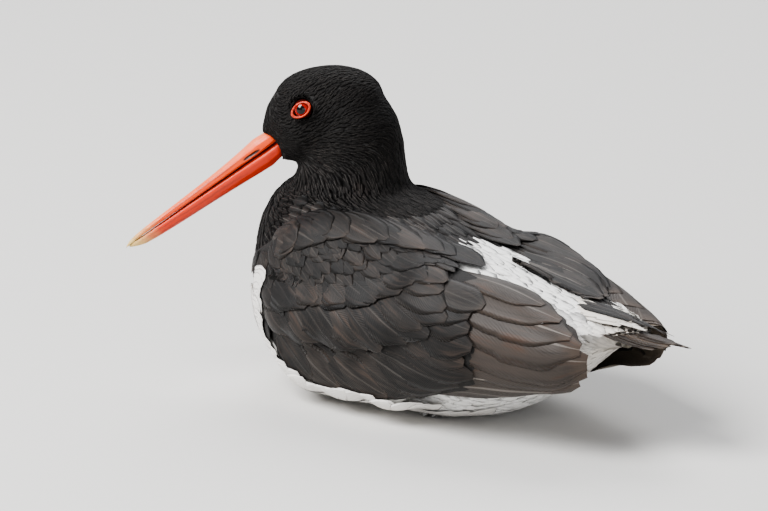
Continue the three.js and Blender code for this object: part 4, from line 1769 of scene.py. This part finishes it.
@dataclass
class Tail:
    """Twelve rectrices in a narrow fan, worn at their tips, and the coverts over their roots.

    Places are in millimetres.
    """

    count: int = 12
    white_coverts: int = 14
    dark_coverts: int = 5
    blade: Blade = Blade(
        stations=44,
        columns=7,
        outline=(0.5, 0.75, 0.95, 1.0, 1.0, 0.9, 0.3),
        camber=0.08,
        thickness=0.2 * MM,
        ridge=0.03,
        splits=0.7,
        roughen=0.03,
    )
    covert_blade: Blade = Blade(
        stations=24,
        columns=7,
        outline=(0.4, 0.8, 1.0, 1.0, 0.8, 0.2),
        camber=0.12,
        thickness=0.12 * MM,
        ridge=0.03,
        splits=0.4,
        roughen=0.03,
    )
    root_x: float = 90
    root_half: float = 6  # from the middle to the outermost feather's shaft
    tip_half: float = 11
    height: float = 55.8
    roll: float = 0.15
    width: float = 12 * MM
    seed: int = 400
    pieces: list[bpy.types.Object] = field(default_factory=list)

    def fan(self) -> Lines:
        """Lays out the rectrices from the length of the frame's tail.

        Returns:
            The feathers, one half of the fan over the other.
        """
        _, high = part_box("tail")
        rng = np.random.default_rng(self.seed)
        place = np.linspace(-1, 1, self.count)[:, None]
        step = (np.abs(np.arange(self.count) - (self.count - 1) / 2) - 0.5)[:, None]
        tip_x = high.x / MM - 0.9 - 0.6 * step + np.minimum(rng.normal(0, 1.2, (self.count, 1)), 0.5)
        t = np.linspace(0, 1, self.blade.stations)[None, :]
        x = self.root_x + (tip_x - self.root_x) * t
        y = place * (self.root_half + (self.tip_half - self.root_half) * t)
        z = self.height - 4.3 * t - 0.5 * step - (place > 0) * 0.3 - self.roll * y
        middle = np.stack([x, y, z], -1) * MM
        facing = np.broadcast_to(np.array([0, self.roll, 1.0]), middle.shape) + np.zeros_like(middle)
        facing[..., 1] += 0.08 * np.sign(place)
        tone = rng.uniform(0.4, 1.0, self.count)
        none = np.zeros(self.count)
        return Lines(middle, unit(facing), np.full(self.count, self.width), tone, none, tone * 0.4, none)

    def coverts(self) -> Lines:
        """Lays out soiled white coverts over the tail's root, and a few dark ones on its right.

        Returns:
            The feathers.
        """
        rng = np.random.default_rng(self.seed + 3)
        first_dark = self.white_coverts
        count = self.white_coverts + self.dark_coverts
        number = np.arange(count)
        dark = number >= first_dark
        place = np.where(dark, (number - first_dark) / 2.0 - 0.6, number / 6.5 - 1)[:, None]
        start = np.where(dark, 86, 80)[:, None] + rng.normal(0, 2, (count, 1))
        end = np.where(dark, 128 - 6 * np.abs(place[:, 0] - 0.4), 116)[:, None] + rng.normal(0, 3, (count, 1))
        t = np.linspace(0, 1, self.covert_blade.stations)[None, :]
        x = start + (end - start) * t
        y = place * (9.5 - 1.5 * t) + np.where(dark, 3, 0)[:, None] * t
        ridge = np.interp(x, (80, 95, 110, 122, 136), (64.0, 61.0, 58.2, 55.2, 53.4))
        z = ridge - 0.022 * y**2 - self.roll * y * t - 2.0 * (1 - t) ** 2 + np.where(dark, 0.7, 0)[:, None]
        middle = np.stack([x, y, z], -1) * MM
        facing = np.stack([0.25 + 0 * x, 0.03 * y + self.roll * t, np.ones_like(x)], -1)
        width = np.where(dark, 6.5, 8.5) * MM
        white = 1.0 - dark
        tone = np.where(dark, rng.uniform(0, 0.4, count), 0.5)
        return Lines(middle, unit(facing), width, tone, white, 0.2 * dark, 0.45 * white)

    def build(self) -> None:
        """Makes the fan and its coverts."""
        fan = build_blades("rectrices", self.fan(), self.blade, self.seed + 1)
        coverts = build_blades("uppertail_coverts", self.coverts(), self.covert_blade, self.seed + 2)
        self.pieces = [fan, coverts]

    def dress(self) -> None:
        """Finish and body."""
        fan, coverts = self.pieces
        settle(coverts, FeatherFinish("tail coverts").material(), "plumage")
        finish = FeatherFinish("tail feathers", worn=rgb(0.045, 0.032, 0.024), edge=rgb(0.2, 0.14, 0.09))
        settle(fan, finish.material(), "tail_plumage", "tail")


# Head


@dataclass
class Bill:
    """Both halves of the bill in fine form, with their grooves and nostrils."""

    length: float = 80 * MM
    voxel: float = 0.34 * MM
    smoothing: int = 3
    swell: float = 0.08 * MM  # makes up for what the smoothing takes off
    root_height: float = 5.6  # half the bill's height at its root, in millimetres
    taper: float = 0.72  # the share of it that is gone at the tip
    tip_shift: tuple[float, float] = (-0.15 * MM, 0.75 * MM)  # brings upper and lower tip together
    slit_place: tuple[float, float] = (8.2 * MM, 2.0 * MM)  # out along the bill, and up from its axis
    slit_half: tuple[float, float] = (4.6 * MM, 0.62 * MM)  # half its length and height
    slit_side: float = 1.5 * MM  # where it starts, out from the ridge
    slit_deep: float = 0.7 * MM
    pieces: list[bpy.types.Object] = field(default_factory=list)

    def slit(self, along: Array, side: Array, up: Array) -> Array:
        """Finds the nostrils.

        Args:
            along: how far out along the bill places lie, in metres.
            side: how far to the left of its axis.
            up: how far up from it.

        Returns:
            How far they lie in the slits, from 0 to 1.
        """
        (middle, height), (half, half_height) = self.slit_place, self.slit_half
        reach = ((along - middle) / half) ** 4 + ((up - height) / half_height) ** 2
        return np.exp(-reach) * (np.abs(side) > self.slit_side)

    def build(self) -> None:
        """Makes the two halves from the frame's solids."""
        bill, left, up = head_axes()
        for node, tip_shift in zip(("bill_upper", "bill_lower"), self.tip_shift):
            piece = node_solid("horn_" + node, [node], self.voxel, self.smoothing, -self.swell)
            out = mesh_points(piece.data) - bill_base()
            along = out @ bill / self.length
            out = out + up * (tip_shift * ramp(0.88, 0.98, along))[:, None]
            slit = self.slit(out @ bill, out @ left, out @ up) * (node == "bill_upper")
            out = out - left * (np.sign(out @ left) * slit * self.slit_deep)[:, None]
            piece.data.vertices.foreach_set("co", (out + bill_base()).astype(np.float32).ravel())
            piece.data.update()
            depth = self.root_height * (1 - self.taper * np.clip(along, 0, 1)) * MM
            add_values(piece.data, {"along": along, "height": (out @ up) / depth, "slit": slit})
            self.pieces.append(piece)

    def dress(self) -> None:
        """Finish and body."""
        material = BillFinish("bill horn").material()
        for node, piece in zip(("bill_upper", "bill_lower"), self.pieces):
            settle(piece, material, "bill", node)


@dataclass
class Eye:
    """One eye with its cornea, and the bare ring round it."""

    side: Side
    ball_grid: tuple[int, int] = (48, 64)
    ring_grid: tuple[int, int] = (96, 20)
    cornea: float = 0.05  # how far it bulges, as a share of the ball's radius
    ring_radius: float = 4.35 * MM
    ring_thick: float = 0.62 * MM
    ring_tall: float = 0.66  # the ring's height, as a share of its length
    opening: tuple[float, float] = (4.9 * MM, 3.3 * MM)  # half the bare place's length and height
    opening_drop: float = 0.2 * MM
    opening_reach: float = 8 * MM
    hood: float = 0.4 * MM  # how far the ring's upper part is sunk under the brow
    pieces: list[bpy.types.Object] = field(default_factory=list)

    def __post_init__(self) -> None:
        """Reads where the eye sits."""
        self.name = self.side.name.lower()
        ball = mesh_points(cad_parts["eye_" + self.name].data)
        ring = mesh_points(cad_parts["eye_ring_" + self.name].data)
        self.centre = (ball.min(0) + ball.max(0)) / 2
        self.radius = float(np.linalg.norm(ball - self.centre, axis=1).max())
        self.ring_centre = (ring.min(0) + ring.max(0)) / 2
        _, _, axes = np.linalg.svd(ring - ring.mean(0), full_matrices=False)
        self.outward = unit(axes[2] * np.sign(axes[2] @ (self.ring_centre - self.centre)))
        self.up = along_surface(head_axes()[2], self.outward)
        self.ahead = np.cross(self.up, self.outward)

    def opens(self, points: Array) -> Array:
        """Finds the opening between the feathers.

        Args:
            points: places on the skin, one in each row.

        Returns:
            Which of them lie in it.
        """
        out = points - self.ring_centre + self.up * self.opening_drop
        reach = np.hypot((out @ self.ahead) / self.opening[0], (out @ self.up) / self.opening[1])
        return (reach < 1) & (np.linalg.norm(out, axis=1) < self.opening_reach)

    def build(self) -> None:
        """Makes the ball and the ring."""
        self.pieces = [self.ball(), self.ring()]

    def ball(self) -> bpy.types.Object:
        """Makes a fine ball with a low cornea.

        Returns:
            The ball.
        """
        rows, columns = self.ball_grid
        polar = np.linspace(0.001, math.pi - 0.001, rows)[:, None]
        turn = np.arange(columns)[None, :] * math.tau / columns
        off = self.radius * np.sin(polar) * np.ones_like(turn)
        bulge = self.cornea * np.exp(-((polar / 0.5) ** 2))
        out = self.radius * (np.cos(polar) + bulge) * np.ones_like(turn)
        points = (
            self.centre
            + self.outward * out[..., None]
            + self.up * (off * np.sin(turn))[..., None]
            + self.ahead * (off * np.cos(turn))[..., None]
        )
        grid = np.arange(rows * columns).reshape(rows, columns)
        beside = np.roll(grid, -1, 1)
        faces = np.stack([grid[:-1], grid[1:], beside[1:], beside[:-1]], -1).reshape(-1, 4)
        spin = np.broadcast_to(np.minimum(turn, math.tau - turn), off.shape)
        values = {"radius": np.where(out > 0, off, 2 * self.radius) / MM, "spin": spin}
        return make_object("eyeball_" + self.name, points.reshape(-1, 3), faces, values)

    def ring(self) -> bpy.types.Object:
        """Makes a folded ring of bare skin, a little longer before and behind the eye.

        Returns:
            The ring.
        """
        rows, columns = self.ring_grid
        turn = np.arange(rows)[:, None] * math.tau / rows
        roll = np.arange(columns)[None, :] * math.tau / columns
        corner = 1 + 0.04 * np.cos(turn) ** 8
        fold = 1 + 0.08 * np.sin(turn * 13) * np.sin(roll * 3 + 1)
        radius = self.ring_radius * corner + self.ring_thick * np.cos(roll) * fold
        out = self.ring_thick * 0.72 * np.sin(roll) * fold - self.hood * np.maximum(np.sin(turn), 0)
        points = (
            self.ring_centre
            + self.ahead * (radius * np.cos(turn))[..., None]
            + self.up * (radius * np.sin(turn) * self.ring_tall)[..., None]
            + self.outward * out[..., None]
        )
        grid = np.arange(rows * columns).reshape(rows, columns)
        after = np.roll(grid, -1, 0)
        faces = np.stack([grid, np.roll(grid, -1, 1), np.roll(after, -1, 1), after], -1).reshape(-1, 4)
        return make_object("eyelids_" + self.name, points.reshape(-1, 3), faces[:, ::-1])

    def dress(self) -> None:
        """Finish and body."""
        ball, ring = self.pieces
        settle(ball, EyeFinish("iris " + self.name).material(), "eye", "eye_" + self.name)
        settle(ring, RingFinish("eyelid " + self.name).material(), "eye_ring", "eye_ring_" + self.name)


@dataclass
class Legs:
    """The folded legs, which stay the frame's own solids and only get their finish."""

    pieces: list[bpy.types.Object] = field(default_factory=list)

    def build(self) -> None:
        """Finds the two legs."""
        self.pieces = [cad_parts["leg_" + side.name.lower()] for side in Side]

    def dress(self) -> None:
        """Finish."""
        material = LegFinish("leg scales").material()
        for piece in self.pieces:
            piece.data.materials.clear()
            piece.data.materials.append(material)


# Studio


@dataclass(frozen=True)
class Lamp:
    """A square soft light.

    Its turn from the camera's side and its height are in degrees, the distance from the bird and its
    size in metres, and its power in watts.
    """

    name: str
    turn: float
    height: float
    distance: float
    size: float
    power: float


@dataclass
class Studio:
    """Floor, lights and the camera at the photograph's viewing angle."""

    azimuth: float = math.radians(42)
    elevation: float = math.radians(15)
    distance: float = 2.8
    frame_width: float = 0.3413  # what the image's width takes in at the bird
    aim_right: float = -0.0209  # from the origin to the image's middle
    aim_up: float = 0.0633
    sensor: float = 36
    clip_end: float = 20
    floor_half: float = 4
    sky: Colour = rgb(0.90, 0.93, 1.0)
    sky_strength: float = 0.4
    lamps: tuple[Lamp, ...] = (
        Lamp("key", -62, 48, 2.2, 1.3, 92),
        Lamp("fill", 15, 8, 2.6, 2.0, 20),
        Lamp("rim", 170, 50, 2.2, 1.4, 30),
    )

    def build(self) -> None:
        """Makes all of it."""
        self.floor()
        self.camera()
        for lamp in self.lamps:
            self.light(lamp)
        world = bpy.data.worlds.new("studio")
        world.use_nodes = True
        world.node_tree.nodes["Background"].inputs["Color"].default_value = self.sky
        world.node_tree.nodes["Background"].inputs["Strength"].default_value = self.sky_strength
        bpy.context.scene.world = world
        bpy.context.scene.view_settings.look = "AgX - Medium High Contrast"

    def way(self, turn: float, height: float) -> Vector:
        """The direction from the bird to a place, by its turn from the camera's side and its height."""
        a = self.azimuth + turn
        return Vector((math.sin(a) * math.cos(height), -math.cos(a) * math.cos(height), math.sin(height)))

    def camera(self) -> None:
        """Makes the camera."""
        back = self.way(0, self.elevation)
        right = Vector((math.cos(self.azimuth), math.sin(self.azimuth), 0))
        up = back.cross(right)
        data = bpy.data.cameras.new("camera")
        data.sensor_width = self.sensor
        data.lens = self.sensor * self.distance / self.frame_width
        data.clip_end = self.clip_end
        made = bpy.data.objects.new("camera", data)
        turned = Matrix((right, up, back)).transposed().to_4x4()
        place = right * self.aim_right + up * self.aim_up + back * self.distance
        made.matrix_world = Matrix.Translation(place) @ turned
        bpy.context.scene.collection.objects.link(made)
        bpy.context.scene.camera = made

    def light(self, lamp: Lamp) -> None:
        """Makes one light.

        Args:
            lamp: its place, size and power.
        """
        data = bpy.data.lights.new(lamp.name, "AREA")
        data.size = lamp.size
        data.energy = lamp.power
        made = bpy.data.objects.new(lamp.name, data)
        way = self.way(math.radians(lamp.turn), math.radians(lamp.height))
        made.location = way * lamp.distance
        made.rotation_mode = "QUATERNION"
        made.rotation_quaternion = way.to_track_quat("Z", "Y")
        bpy.context.scene.collection.objects.link(made)

    def floor(self) -> None:
        """Makes the floor."""
        half = self.floor_half
        corners = np.array([[-half, -half, 0], [half, -half, 0], [half, half, 0], [-half, half, 0]], float)
        made = make_object("floor", corners, np.array([[0, 1, 2, 3]]))
        made.data.materials.append(FloorFinish("floor").material())


def put_up(part: Skin | Coat | Wing | Tail | Bill | Eye | Legs) -> None:
    """Builds and dresses one part of the bird, and reports its pieces.

    Args:
        part: the part.
    """
    part.build()
    part.dress()
    for piece in part.pieces:
        LOG.info("%s: %d faces", piece.name, len(piece.data.polygons))


def main() -> None:
    """Builds the scene in order."""
    logging.basicConfig(level=logging.INFO, format="%(message)s")
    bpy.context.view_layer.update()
    Studio().build()
    skin, eyes, wings = Skin(), [Eye(side) for side in Side], [Wing(side) for side in Side]
    for part in (skin, *eyes, *wings):
        put_up(part)
    coat = Coat(skin.pieces[0], eyes, [wing.pieces[0] for wing in wings])
    for part in (coat, Tail(), Bill(), Legs()):
        put_up(part)


if __name__ == "__main__":
    main()
